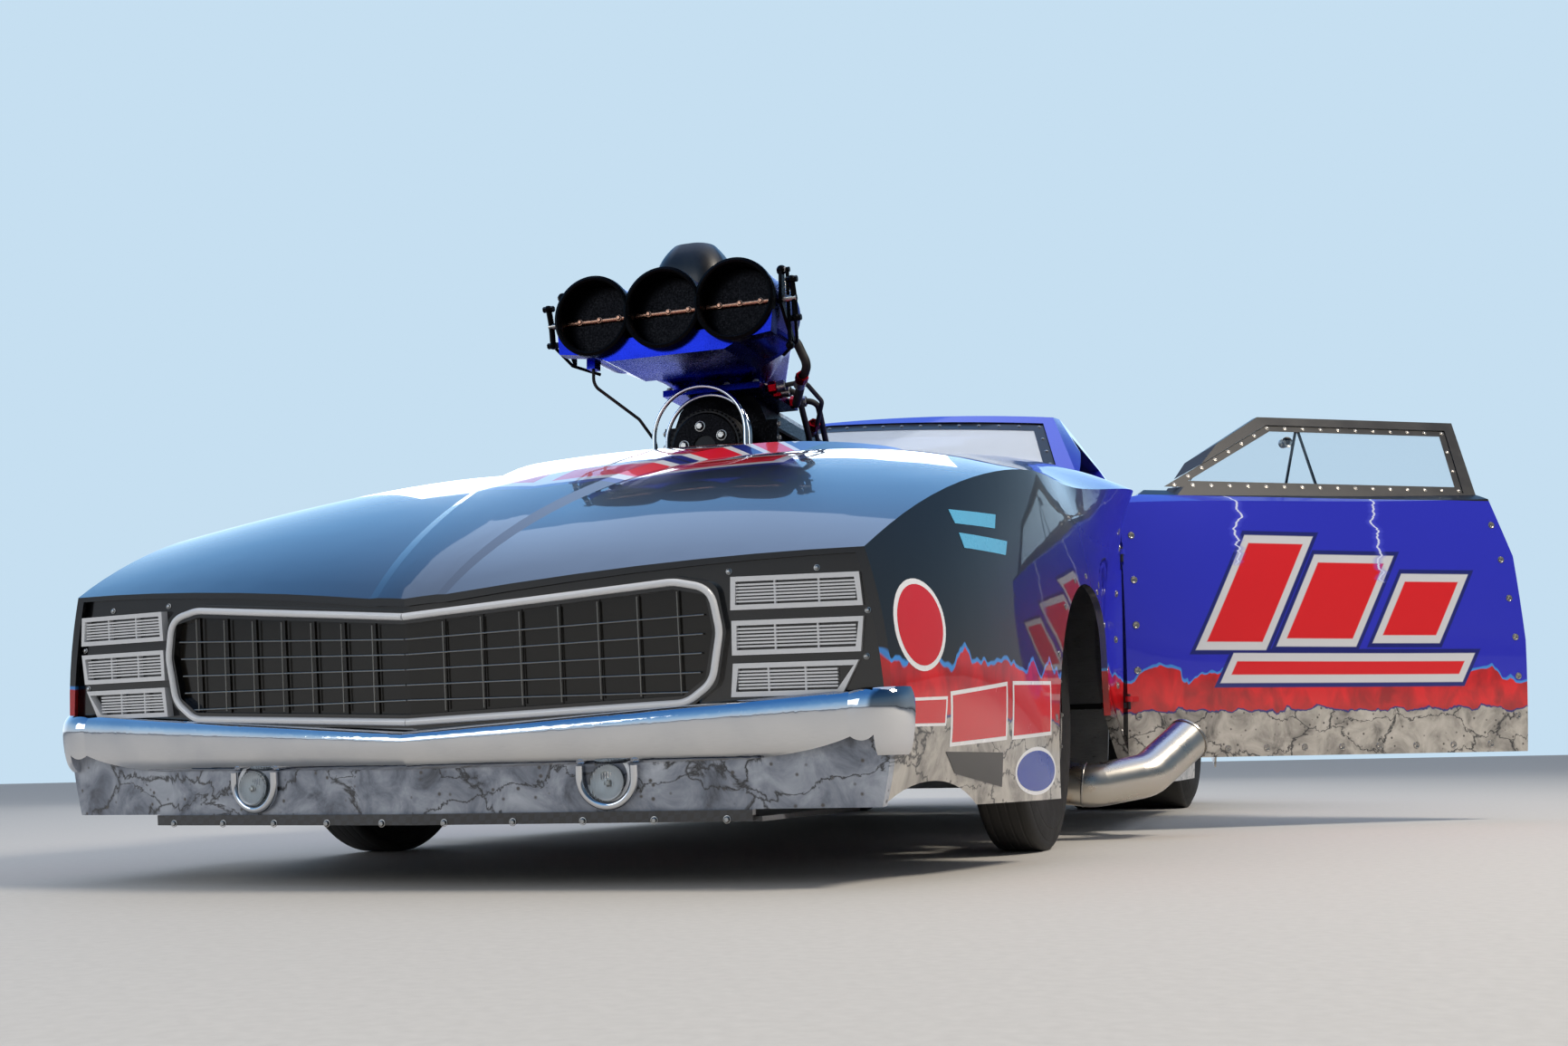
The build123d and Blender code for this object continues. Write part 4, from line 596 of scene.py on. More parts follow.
        fade = add("MapRange", {"Value": along, "From Min": NOSE_END, "From Max": DOOR_START},
                   interpolation_type="SMOOTHSTEP")
        ground = add("Mix", {0: fade, 6: linear(self.navy), 7: linear(self.blue)}, data_type="RGBA")
        flakes = add("TexVoronoi", {"Vector": place, "Scale": PAINT_FLAKE})
        sparkle = add("MapRange", {"Value": flakes.outputs["Distance"], "From Max": 0.35,
            "To Min": 0.35, "To Max": 0.0})
        colour = add("Mix", {0: sparkle, 6: ground.outputs[2], 7: linear(self.pinstripe)},
                     data_type="RGBA", blend_type="SOFT_LIGHT").outputs[2]

        shade = add("MapRange", {"Value": torn, "From Min": 0.35, "From Max": 0.62})
        red = add("Mix", {0: shade, 6: linear(self.deep_red), 7: linear(self.red)},
                  data_type="RGBA")
        for edge, top, over in ((red_edge, self.pinstripe_top, linear(self.pinstripe)),
                                (red_edge, self.red_top, red.outputs[2]),
                                (stone_edge, self.seam_top, linear(self.outline)),
                                (stone_edge, self.stone_top, self.stone(add, place))):
            colour = self.painted(add, colour, over, edge, top + self.band_shift)
        if self.slashes:
            colour = self.door_art(add, colour, along, up)
        if self.hood_flash:
            colour = self.hood_art(add, colour, split)
        # Orange peel keeps the reflections from being mirror-flat
        peel = add("TexNoise", {"Vector": place, "Scale": ORANGE_PEEL, "Detail": 2.0})
        bump = add("Bump", {"Height": peel, "Strength": 0.015, "Distance": 0.0004})
        return {"Base Color": colour, "Roughness": 0.32, "Metallic": 0.15, "Coat Weight": 1.0,
                "Coat Roughness": 0.03, "Coat Normal": bump}


# Slanted bars on the doors and the hood: middle along, middle up, half length, half height, slant
DOOR_BARS = ((-0.58, 0.63, 0.085, 0.135, 0.55), (-0.33, 0.61, 0.105, 0.105, 0.55),
             (-0.06, 0.59, 0.085, 0.075, 0.55), (-0.30, 0.425, 0.36, 0.018, 0.55))
HOOD_BARS = ((-2.36, 0.23, 0.052, 0.21, 0.30), (-2.15, 0.20, 0.055, 0.22, 0.30),
             (-1.95, 0.17, 0.050, 0.20, 0.30), (-1.79, 0.13, 0.035, 0.14, 0.30))


@dataclass(frozen=True)
class Metal(Finish):
    """Bare, polished, plated or anodised metal, with fine scratches from handling."""

    colour: str
    roughness: float
    scratch: float = 0.08
    grain: tuple[float, float, float] = (260.0, 260.0, 260.0)
    tint: str | None = None

    def draw(self, add: Adder, place: Socket) -> dict:
        """Draws the metal with its scratches and handling marks.

        Args:
            add: adds a node to the material.
            place: the point in the part's frame.

        Returns:
            What goes into the shader's sockets.
        """
        stretched = add("VectorMath", {0: place, 1: self.grain}, operation="MULTIPLY")
        fine = add("TexNoise", {"Vector": stretched, "Scale": 1.0, "Detail": 4.0, "Roughness": 0.6})
        cloud = add("TexNoise", {"Vector": place, "Scale": METAL_CLOUD, "Detail": 3.0})
        rough = add("MapRange", {"Value": fine, "From Min": 0.3, "From Max": 0.7,
            "To Min": self.roughness * (1 - self.scratch * 4), "To Max": self.roughness
            * (1 + self.scratch * 6)})
        # Without a tint of its own the metal is a tenth darker where hands have been
        second = linear(self.tint) if self.tint else (*[c * 0.9 for c in linear(self.colour)[:3]],
            1.0)
        mask = add("MapRange", {"Value": cloud, "From Min": 0.40, "From Max": 0.66})
        colour = add("Mix", {0: mask, 6: linear(self.colour), 7: second}, data_type="RGBA")
        bump = add("Bump", {"Height": fine, "Strength": self.scratch, "Distance": 0.0005})
        return {"Base Color": colour.outputs[2], "Roughness": rough, "Metallic": 1.0,
                "Normal": bump}


@dataclass(frozen=True)
class Moulded(Finish):
    """Moulded or sprayed plastic, rubber or enamel, with its grain and dust."""

    colour: str
    roughness: float
    grain: float = 400.0
    depth: float = 0.1
    dust: float = 0.0
    coat: float = 0.0
    dust_colour: str = "#6d6a66"

    def draw(self, add: Adder, place: Socket) -> dict:
        """Draws the moulding with its grain and dust.

        Args:
            add: adds a node to the material.
            place: the point in the part's frame.

        Returns:
            What goes into the shader's sockets.
        """
        grain = add("TexNoise", {"Vector": place, "Scale": self.grain, "Detail": 3.0})
        cloud = add("TexNoise", {"Vector": place, "Scale": DUST_CLOUD, "Detail": 5.0,
            "Roughness": 0.6})
        mask = add("MapRange", {"Value": cloud, "From Min": 0.45, "From Max": 0.75,
            "To Max": self.dust})
        colour = add("Mix", {0: mask, 6: linear(self.colour), 7: linear(self.dust_colour)},
                     data_type="RGBA")
        rough = add("MapRange", {"Value": cloud, "From Min": 0.3, "From Max": 0.7,
            "To Min": self.roughness * 0.88, "To Max": min(1.0, self.roughness * 1.15)})
        bump = add("Bump", {"Height": grain, "Strength": self.depth, "Distance": 0.0006})
        return {"Base Color": colour.outputs[2], "Roughness": rough, "Normal": bump,
                "Coat Weight": self.coat, "Coat Roughness": 0.04}


@dataclass(frozen=True)
class Weave(Finish):
    """Woven cloth or carbon: two sets of yarns crossing, raised where they pass over."""

    warp: str
    weft: str
    pitch_mm: float
    roughness: float = 0.5
    coat: float = 0.0
    sheen: float = 0.0

    def draw(self, add: Adder, place: Socket) -> dict:
        """Draws the weave.

        Args:
            add: adds a node to the material.
            place: the point in the part's frame.

        Returns:
            What goes into the shader's sockets.
        """
        scale = 1000.0 / self.pitch_mm
        split = add("SeparateXYZ", {0: place})
        slant = add("Math", {0: split.outputs["X"], 1: split.outputs["Y"]}, operation="ADD")
        lift = add("Math", {0: split.outputs["Y"], 1: split.outputs["Z"]}, operation="SUBTRACT")
        flat = add("CombineXYZ", {0: slant, 1: lift})
        checks = add("TexChecker", {"Vector": flat, "Scale": scale / 2, "Color1": linear(self.warp),
            "Color2": linear(self.weft)})
        ripple = add("TexWave", {"Vector": flat, "Scale": scale / 3.2}, bands_direction="DIAGONAL")
        bump = add("Bump", {"Height": ripple, "Strength": 0.25, "Distance": 0.0006})
        return {"Base Color": checks.outputs["Color"], "Roughness": self.roughness, "Normal": bump,
                "Coat Weight": self.coat, "Coat Roughness": 0.04, "Sheen Weight": self.sheen}


@dataclass(frozen=True)
class ClearSheet(Finish):
    """Clear polycarbonate or lens plastic, with the faint haze of wiping, and where set a pale
    share that is painted reflection of glare.
    """

    colour: str = "#f4f8fb"
    roughness: float = 0.015
    ior: float = 1.585
    ribs: float = 0.0
    # Share of the sheet that shows its pale colour instead of letting light through: painted glare
    painted_glare: float = 0.0

    def draw(self, add: Adder, place: Socket) -> dict:
        """Draws the sheet with its haze, and its ribs if it has any.

        Args:
            add: adds a node to the material.
            place: the point in the part's frame.

        Returns:
            What goes into the shader's sockets.
        """
        haze = add("TexNoise", {"Vector": place, "Scale": WIPE_HAZE, "Detail": 4.0})
        rough = add("MapRange", {"Value": haze, "From Min": 0.35, "From Max": 0.75,
            "To Min": self.roughness, "To Max": self.roughness * 3})
        bloom = add("MapRange", {"Value": haze, "To Max": 0.1})
        tone = add("Mix", {0: bloom, 6: linear(self.colour), 7: linear("#ffffff")},
                   data_type="RGBA")
        # Less transmission leaves the pale colour diffuse: a painted reflection of glare, not a
        # milky plastic
        drawn = {"Base Color": tone.outputs[2], "Roughness": rough, "IOR": self.ior,
                 "Transmission Weight": 1.0 - self.painted_glare}
        if self.ribs:
            waves = add("TexWave", {"Vector": place, "Scale": self.ribs}, bands_direction="X")
            drawn["Normal"] = add("Bump", {"Height": waves, "Strength": 0.5, "Distance": 0.002})
        return drawn


@dataclass(frozen=True)
class HotSteel(Finish):
    """Stainless header tube, straw to blue near the engine and bare grey at the tip."""

    start_out: float = 0.45
    reach: float = 0.70
    tones: tuple[tuple[float, str], ...] = ((0.0, "#6e4a35"), (0.25, "#8f6f52"), (0.45, "#6f7396"),
                                            (0.62, "#b79a72"), (0.85, "#c9c4bb"))

    def draw(self, add: Adder, place: Socket) -> dict:
        """Draws the heat colours by the distance from the engine.

        Args:
            add: adds a node to the material.
            place: the point in the part's frame.

        Returns:
            What goes into the shader's sockets.
        """
        split = add("SeparateXYZ", {0: place})
        beside = add("Math", {0: split.outputs["X"], 1: ORIGIN.x}, operation="ADD")
        out = add("Math", {0: beside}, operation="ABSOLUTE")
        cloud = add("TexNoise", {"Vector": place, "Scale": HEAT_CLOUD, "Detail": 4.0,
            "Distortion": 0.5})
        heat = add("Math", {0: cloud, 1: 0.35, 2: out}, operation="MULTIPLY_ADD")
        share = add("MapRange", {"Value": heat, "From Min": self.start_out,
            "From Max": self.start_out + self.reach})
        ramp = add("ValToRGB", {0: share})
        set_stops(ramp.color_ramp, self.tones)
        rough = add("MapRange", {"Value": cloud, "To Min": 0.18, "To Max": 0.42})
        fine = add("TexNoise", {"Vector": place, "Scale": STEEL_GRAIN})
        bump = add("Bump", {"Height": fine, "Strength": 0.06, "Distance": 0.0004})
        return {"Base Color": ramp, "Roughness": rough, "Metallic": 1.0, "Normal": bump}


@dataclass(frozen=True)
class TyreRubber(Finish):
    """Tyre rubber, with its tread grooves, sidewall rings and the grey scuff of the tread.

    The wheel's axis lies along X, so the grooves follow the distance from the wheel's middle
    plane and the rings follow the radius, both in metres.
    """

    middle: tuple[float, float, float]
    radius: float
    grooves: tuple[float, ...] = ()
    rings: tuple[float, ...] = ()
    colour: str = "#111112"
    scuff: str = "#3a3836"

    def nearest(self, add: Adder, value: Node, spots: Sequence[float]) -> Node:
        """Measures the distance of a value from the nearest of some spots.

        Args:
            add: adds a node to the material.
            value: the value.
            spots: the spots, in the value's unit.

        Returns:
            The node with the distance.
        """
        found = None
        for spot in spots:
            gap = add("Math", {0: value, 1: spot}, operation="SUBTRACT")
            off = add("Math", {0: gap}, operation="ABSOLUTE")
            found = off if found is None else add("Math", {0: found, 1: off}, operation="MINIMUM")
        return found

    def draw(self, add: Adder, place: Socket) -> dict:
        """Draws the rubber with its grooves, rings and scuffs.

        Args:
            add: adds a node to the material.
            place: the point in the part's frame.

        Returns:
            What goes into the shader's sockets.
        """
        local = add("VectorMath", {0: place, 1: self.middle}, operation="SUBTRACT")
        split = add("SeparateXYZ", {0: local})
        across = add("Math", {0: split.outputs["X"]}, operation="ABSOLUTE")
        flat = add("VectorMath", {0: local, 1: (0.0, 1.0, 1.0)}, operation="MULTIPLY")
        radius = add("VectorMath", {0: flat}, operation="LENGTH").outputs["Value"]
        tread = add("MapRange", {"Value": radius, "From Min": self.radius - 0.012,
            "From Max": self.radius - 0.006})
        wear = add("TexNoise", {"Vector": place, "Scale": RUBBER_WEAR, "Detail": 6.0,
            "Roughness": 0.65})
        rubbed = add("MapRange", {"Value": wear, "To Max": 0.8})
        worn = add("Math", {0: tread, 1: rubbed}, operation="MULTIPLY")
        colour = add("Mix", {0: worn, 6: linear(self.colour), 7: linear(self.scuff)},
                     data_type="RGBA")
        rough = add("MapRange", {"Value": wear, "To Min": 0.58, "To Max": 0.9})
        grain = add("TexNoise", {"Vector": place, "Scale": RUBBER_GRAIN, "Detail": 3.0})
        height = grain.outputs[0]
        for cut, edge, held in ((self.grooves, across, tread), (self.rings, radius, None)):
            if cut:
                gap = self.nearest(add, edge, cut)
                depth = add("MapRange", {"Value": gap, "From Min": 0.0018, "From Max": 0.0032,
                    "To Min": -14.0, "To Max": 0.0})
                if held:
                    depth = add("Math", {0: depth, 1: held}, operation="MULTIPLY")
                height = add("Math", {0: height, 1: depth}, operation="ADD")
        bump = add("Bump", {"Height": height, "Strength": 0.55, "Distance": 0.0005})
        return {"Base Color": colour.outputs[2], "Roughness": rough, "Normal": bump}


FRONT_TYRE_RINGS = (0.215, 0.285, 0.312)
SLICK_RINGS = (0.240, 0.262, 0.395)
# Each finish with what it gives the eye
FINISHES = {one.name: one for one in (
    # Clear-coated show livery: deep gloss over flat colours, with cracked stone below
    ShowPaint("show_paint", hood_flash=True),
    ShowPaint("show_paint_rear"),
    ShowPaint("show_paint_door", slashes=True),
    ShowPaint("show_paint_door_open", side=Side.OPEN, slashes=True),
    # The valance is all stone, and bluer than the stone of the sides
    ShowPaint("stone_paint", band_shift=2.0, stone_light="#9299a6", stone_mid="#636b7a",
              stone_dark="#23262e", stone_pale="#bcc2cc"),
    # Gel-coated fascia and rings: black with a clear highlight
    Moulded("gloss_black_moulding", "#050507", 0.22, depth=0.02, coat=1.0),
    # Smoked acrylic behind the grille: brown-black, with dust at its edges
    Moulded("smoked_acrylic", "#0d0a05", 0.18, depth=0.02, dust=0.10, coat=0.2,
            dust_colour="#3a3020"),
    # Buffed aluminium rims: bright, with soft reflections
    Metal("polished_aluminium", "#e9eaec", 0.14, 0.05, tint="#d9dadd"),
    # Chrome plate: a near mirror, a little blue in the hollows
    Metal("chromed_steel", "#d8dade", 0.05, 0.02, (90.0, 90.0, 90.0), tint="#cdd0d6"),
    # Anodised aluminium: satin, with the dye's colour in its reflections
    Metal("black_anodised", "#121214", 0.38, 0.12),
    Metal("blue_anodised", "#16269c", 0.22, 0.08, tint="#101c7c"),
    Metal("red_anodised", "#a80a1c", 0.25, 0.08),
    # Sand-cast cases: grey and dull, with a coarse skin
    Metal("cast_aluminium", "#8d8e90", 0.48, 0.3, (120.0, 120.0, 120.0)),
    # Machined and rolled steel: streaks along the work
    Metal("brushed_steel", "#a7a4a0", 0.30, 0.10, (60.0, 600.0, 600.0)),
    # The throttle shaft's copper flash: warm and a little dull
    Metal("copper_shaft", "#b98c74", 0.32, 0.10),
    # Rolled sheet of floor and door panels: long faint streaks
    Metal("sheet_aluminium", "#9b9da0", 0.42, 0.12, (30.0, 400.0, 400.0)),
    # Header tubes: straw, blue and bronze from heat
    HotSteel("header_steel"),
    # Enamelled frame tubes: near black, satin, with road dust
    Moulded("frame_enamel", "#17181a", 0.34, depth=0.04, dust=0.15, coat=0.3),
    # Hoses, belt and pads: matt black with a fine grain
    Moulded("black_rubber", "#0c0c0d", 0.62, 260.0, 0.2, dust=0.3),
    # Tyres: matt rubber, scuffed grey on the tread, with moulded rings on the wall
    TyreRubber("front_tyre_left", tuple(car(797, 0, 330)), 0.330, (0.009, 0.030), FRONT_TYRE_RINGS),
    TyreRubber("front_tyre_right", tuple(car(-797, 0, 330)), 0.330, (0.009, 0.030),
               FRONT_TYRE_RINGS),
    TyreRubber("slick_left", tuple(car(642, 2920, 438)), 0.438, (), SLICK_RINGS),
    TyreRubber("slick_right", tuple(car(-642, 2920, 438)), 0.438, (), SLICK_RINGS),
    # Woven carbon under lacquer, nylon cloth and polyester web; the pitch is drawn coarse to show
    Weave("carbon_weave", "#0b0c10", "#1b1e26", 6.0, 0.4, coat=1.0),
    Weave("pack_nylon", "#0d0e12", "#15161b", 2.4, 0.75, sheen=0.4),
    Weave("harness_web", "#8c1018", "#a5141d", 1.8, 0.7, sheen=0.3),
    # Polycarbonate windows: clear; the windshield gets a milky white share, a painted reflection of
    # its glare
    ClearSheet("clear_sheet"),
    ClearSheet("windshield_sheet", painted_glare=0.42),
    # Signal and tail lenses: ribbed clear and deep red plastic
    ClearSheet("lens_clear", "#eef1f2", 0.05, 1.5, ribs=70.0),
    Moulded("lens_red", "#7d0508", 0.12, 90.0, 0.3, coat=1.0),
    # Cut vinyl film: flat colour with a plastic shine
    Moulded("vinyl_red", "#c9141f", 0.25, depth=0.01, dust=0.06, coat=0.7),
    Moulded("vinyl_white", "#e6e7ea", 0.28, depth=0.01, dust=0.08, coat=0.7),
    Moulded("vinyl_blue", "#123a9c", 0.25, depth=0.01, dust=0.06, coat=0.7),
    Moulded("vinyl_sky", "#5fb4dc", 0.28, depth=0.01, dust=0.06, coat=0.7),
    Moulded("vinyl_black", "#08090b", 0.25, depth=0.01, dust=0.08, coat=0.7),
    # Pale trim of ring and covers: a near-white colour that is partly painted reflection, standing
    # in for the bright chrome, under a lacquered shine
    Moulded("bright_trim", "#dcdee1", 0.22, depth=0.01, dust=0.05, coat=0.8),
    # Thin wire on the grille: dull silver lines
    Metal("grille_wire", "#8d8b86", 0.35, 0.08),
    # Painted frames and borders: black, between satin and gloss
    Moulded("body_black", "#050506", 0.4, depth=0.05, dust=0.08, coat=0.1),
)}
# The finish of each CAD node
NODE_FINISH = {node: wears for wears, nodes in {
    "show_paint": "front_clip",
    "gloss_black_moulding": "nose_panel grille_ring",
    "stone_paint": "front_valance",
    "carbon_weave": "splitter seat dashboard",
    "smoked_acrylic": "grille_panel",
    # The headlight covers wear the near-white trim, partly a painted reflection of their bright
    # shine
    "bright_trim": "headlight_covers",
    "chromed_steel": "front_bumper turn_signal_rings hood_hoops rear_bumper",
    "lens_clear": "turn_signal_lenses",
    "cast_aluminium": "engine_block driveline",
    "black_anodised": "blower throttle_linkage steering_wheel knuckle_left knuckle_right",
    "black_rubber": "belt_drive fuel_hoses wheelie_wheels",
    "blue_anodised": "injector_hat",
    "body_black": "injector_cover driver_door_frame passenger_door_frame",
    "header_steel": "exhaust_headers",
    "show_paint_rear": "body_shell deck_lid rear_spoiler",
    "windshield_sheet": "windshield",
    "clear_sheet": "rear_windows driver_door_window passenger_door_window",
    "show_paint_door_open": "driver_door",
    "show_paint_door": "passenger_door",
    "sheet_aluminium": "wheel_tubs floor_and_firewall",
    "lens_red": "tail_lamps",
    "pack_nylon": "parachutes",
    "frame_enamel": "chassis_frame front_suspension rear_axle wheelie_bars",
    "front_tyre_left": "front_tyre_left",
    "front_tyre_right": "front_tyre_right",
    "slick_left": "rear_tyre_left",
    "slick_right": "rear_tyre_right",
    "polished_aluminium": "front_rim_left front_rim_right rear_rim_left rear_rim_right",
}.items() for node in nodes.split()}
MADE: dict[str, Material] = {}


def finish(name: str) -> Material:
    """Gives the material of a named finish, and makes it the first time.

    Args:
        name: the finish's name in the table.

    Returns:
        Its material.
    """
    if name not in MADE:
        MADE[name] = FINISHES[name].build()
    return MADE[name]


@dataclass
class CarriedNodes:
    """The CAD nodes that show as they are, each in its finish."""

    table: dict[str, str] = field(default_factory=lambda: dict(NODE_FINISH))

    def dress(self) -> None:
        """Puts each node's finish on it."""
        for name, chosen in self.table.items():
            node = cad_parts[name]
            node.data.materials.clear()
            node.data.materials.append(finish(chosen))
            log.info("%s wears %s", name, chosen)


@dataclass
class Studio:
    """A pale floor, a soft studio and the camera near the ground ahead of the car."""

    place: tuple[float, float, float] = (1484.1, -3471.2, 191.8)
    yaw: float = 19.44
    pitch: float = 8.60
    roll: float = -1.11
    focal_px: float = 1765.2
    sensor_mm: float = 36.0
    floor_colour: str = "#bfbcb7"
    speck_colour: str = "#d0cdc8"
    floor_reach: float = 60.0
    sky: tuple[tuple[float, str], ...] = ((0.0, "#5a5e66"), (0.03, "#c8d4de"), (0.25, "#a6c8e6"),
                                          (0.5, "#6d9fd0"), (0.9, "#3f78bb"))

    def camera(self) -> None:
        """Sets the camera to the photograph's viewpoint."""
        yaw, pitch, roll = (math.radians(a) for a in (self.yaw, self.pitch, self.roll))
        ahead = Vector((-math.sin(yaw) * math.cos(pitch), math.cos(yaw) * math.cos(pitch),
                        math.sin(pitch)))
        level = Vector((math.cos(yaw), math.sin(yaw), 0.0))
        rise = level.cross(ahead)
        right = math.cos(roll) * level + math.sin(roll) * rise
        top = -math.sin(roll) * level + math.cos(roll) * rise
        lens = bpy.data.cameras.new("camera")
        lens.sensor_width = self.sensor_mm
        lens.lens = self.focal_px / PHOTO_WIDTH * self.sensor_mm
        lens.clip_start = 0.05
        made = bpy.data.objects.new("camera", lens)
        bpy.context.scene.collection.objects.link(made)
        turn = Matrix((right, top, -ahead)).transposed().to_4x4()
        made.matrix_world = Matrix.Translation(car(*self.place)) @ turn
        bpy.context.scene.camera = made

    def floor(self) -> None:
        """Lays the pale speckled floor."""
        mesh = bpy.data.meshes.new("floor")
        far = self.floor_reach
        mesh.from_pydata([(-far, -far, 0), (far, -far, 0), (far, far, 0), (-far, far, 0)], [],
            [(0, 1, 2, 3)])
        made = bpy.data.objects.new("floor", mesh)
        bpy.context.scene.collection.objects.link(made)
        material = bpy.data.materials.new("pale_floor")
        material.use_nodes = True
        tree = material.node_tree
        shader = tree.nodes["Principled BSDF"]
        place = add_node(tree, "TexCoord").outputs["Object"]
        specks = add_node(tree, "TexNoise", {"Vector": place, "Scale": FLOOR_SPECK, "Detail": 6.0})
        tone = add_node(tree, "Mix", {0: specks, 6: linear(self.floor_colour),
            7: linear(self.speck_colour)}, data_type="RGBA")
        tree.links.new(tone.outputs[2], shader.inputs["Base Color"])
        shader.inputs["Roughness"].default_value = 0.75
        mesh.materials.append(material)

    def lamp(self, name: str, place: Point, aim: Point, size: tuple[float, float], power: float,
             colour: str = "#ffffff") -> None:
        """Hangs one soft rectangular lamp.

        Args:
            name: the lamp's name.
            place: where it hangs.
            aim: the point it faces.
            size: its width and height in metres.
            power: its power in watts.
            colour: the hex colour of its light.
        """
        light = bpy.data.lights.new(name, "AREA")
        light.shape = "RECTANGLE"
        light.size, light.size_y = size
        light.energy = power
        light.color = linear(colour)[:3]
        made = bpy.data.objects.new(name, light)
        bpy.context.scene.collection.objects.link(made)
        made.location = place
        made.rotation_mode = "QUATERNION"
        made.rotation_quaternion = (Vector(aim) - Vector(place)).to_track_quat("-Z", "Y")

    def world(self) -> None:
        """Draws the sky that paint mirrors, the even light and the plain sky behind the car."""
        world = bpy.data.worlds.new("studio")
        bpy.context.scene.world = world
        world.use_nodes = True
        tree = world.node_tree
        tree.nodes.clear()
        split = add_node(tree, "SeparateXYZ", {0: add_node(tree, "TexCoord").outputs["Generated"]})
        sky = add_node(tree, "ValToRGB", {0: split.outputs["Z"]})
        set_stops(sky.color_ramp, self.sky)
        # The sky behind the car is the bright part, so that the hood mirrors it at a low angle
        ahead = add_node(tree, "MapRange", {"Value": split.outputs["Y"], "From Min": -0.25,
            "From Max": 0.55, "To Min": 1.1, "To Max": 1.9}, interpolation_type="SMOOTHSTEP")
        beside = add_node(tree, "MapRange", {"Value": split.outputs["X"], "From Min": 0.0,
            "From Max": 0.28, "To Min": 1.0, "To Max": 0.22}, interpolation_type="SMOOTHSTEP")
        strength = add_node(tree, "Math", {0: ahead, 1: beside}, operation="MULTIPLY")
        mirrored_sky = add_node(tree, "Background", {"Color": sky.outputs[0], "Strength": strength})
        ambient = add_node(tree, "Background", {"Color": linear("#cfd4dc"), "Strength": 0.62})
        seen = add_node(tree, "Background", {"Color": linear("#c6dff1"), "Strength": 1.0})
        rays = add_node(tree, "LightPath")
        clear = add_node(tree, "Math", {0: rays.outputs["Is Camera Ray"],
            1: rays.outputs["Is Transmission Ray"]}, operation="MAXIMUM")
        soft = add_node(tree, "MixShader", {0: rays.outputs["Is Glossy Ray"], 1: ambient,
            2: mirrored_sky})
        mixed = add_node(tree, "MixShader", {0: clear, 1: soft, 2: seen})
        add_node(tree, "OutputWorld", {"Surface": mixed})

    def build(self) -> None:
        """Sets up the camera, floor, world and lamps."""
        bpy.context.scene.view_settings.view_transform = "Standard"
        self.camera()
        self.floor()
        self.world()
        middle = car(0, 600, 500)
        self.lamp("key", car(5600, -600, 6200), middle, (1.6, 1.6), 430.0, "#fff4e4")
        self.lamp("front", car(-3600, -6800, 3000), middle, (5.0, 3.0), 90.0)
        self.lamp("top", car(0, 1600, 7000), middle, (9.0, 6.0), 130.0, "#eef4ff")
        self.lamp("rear", car(-3600, 8200, 3600), car(0, 2600, 600), (5.0, 3.0), 110.0)


def shrunk(outline: Outline, amount: float) -> list[tuple[float, float]]:
    """Moves each side of a flat outline inward.

    Args:
        outline: the corners.
        amount: how far each side moves.

    Returns:
        The new corners.
    """
    area = sum(a[0] * b[1] - b[0] * a[1] for a, b in around(outline))
    turn = 1.0 if area > 0 else -1.0
    lines = []
    for a, b in around(outline):
        d = Vector((b[0] - a[0], b[1] - a[1])).normalized()
        n = Vector((-d.y, d.x)) * turn * amount
        lines.append((Vector(a) + n, d))
    corners = []
    for (p, d), (q, e) in zip([lines[-1], *lines[:-1]], lines):
        cross = d.x * e.y - d.y * e.x
        t = ((q.x - p.x) * e.y - (q.y - p.y) * e.x) / cross
        corners.append((p.x + d.x * t, p.y + d.y * t))
    return corners


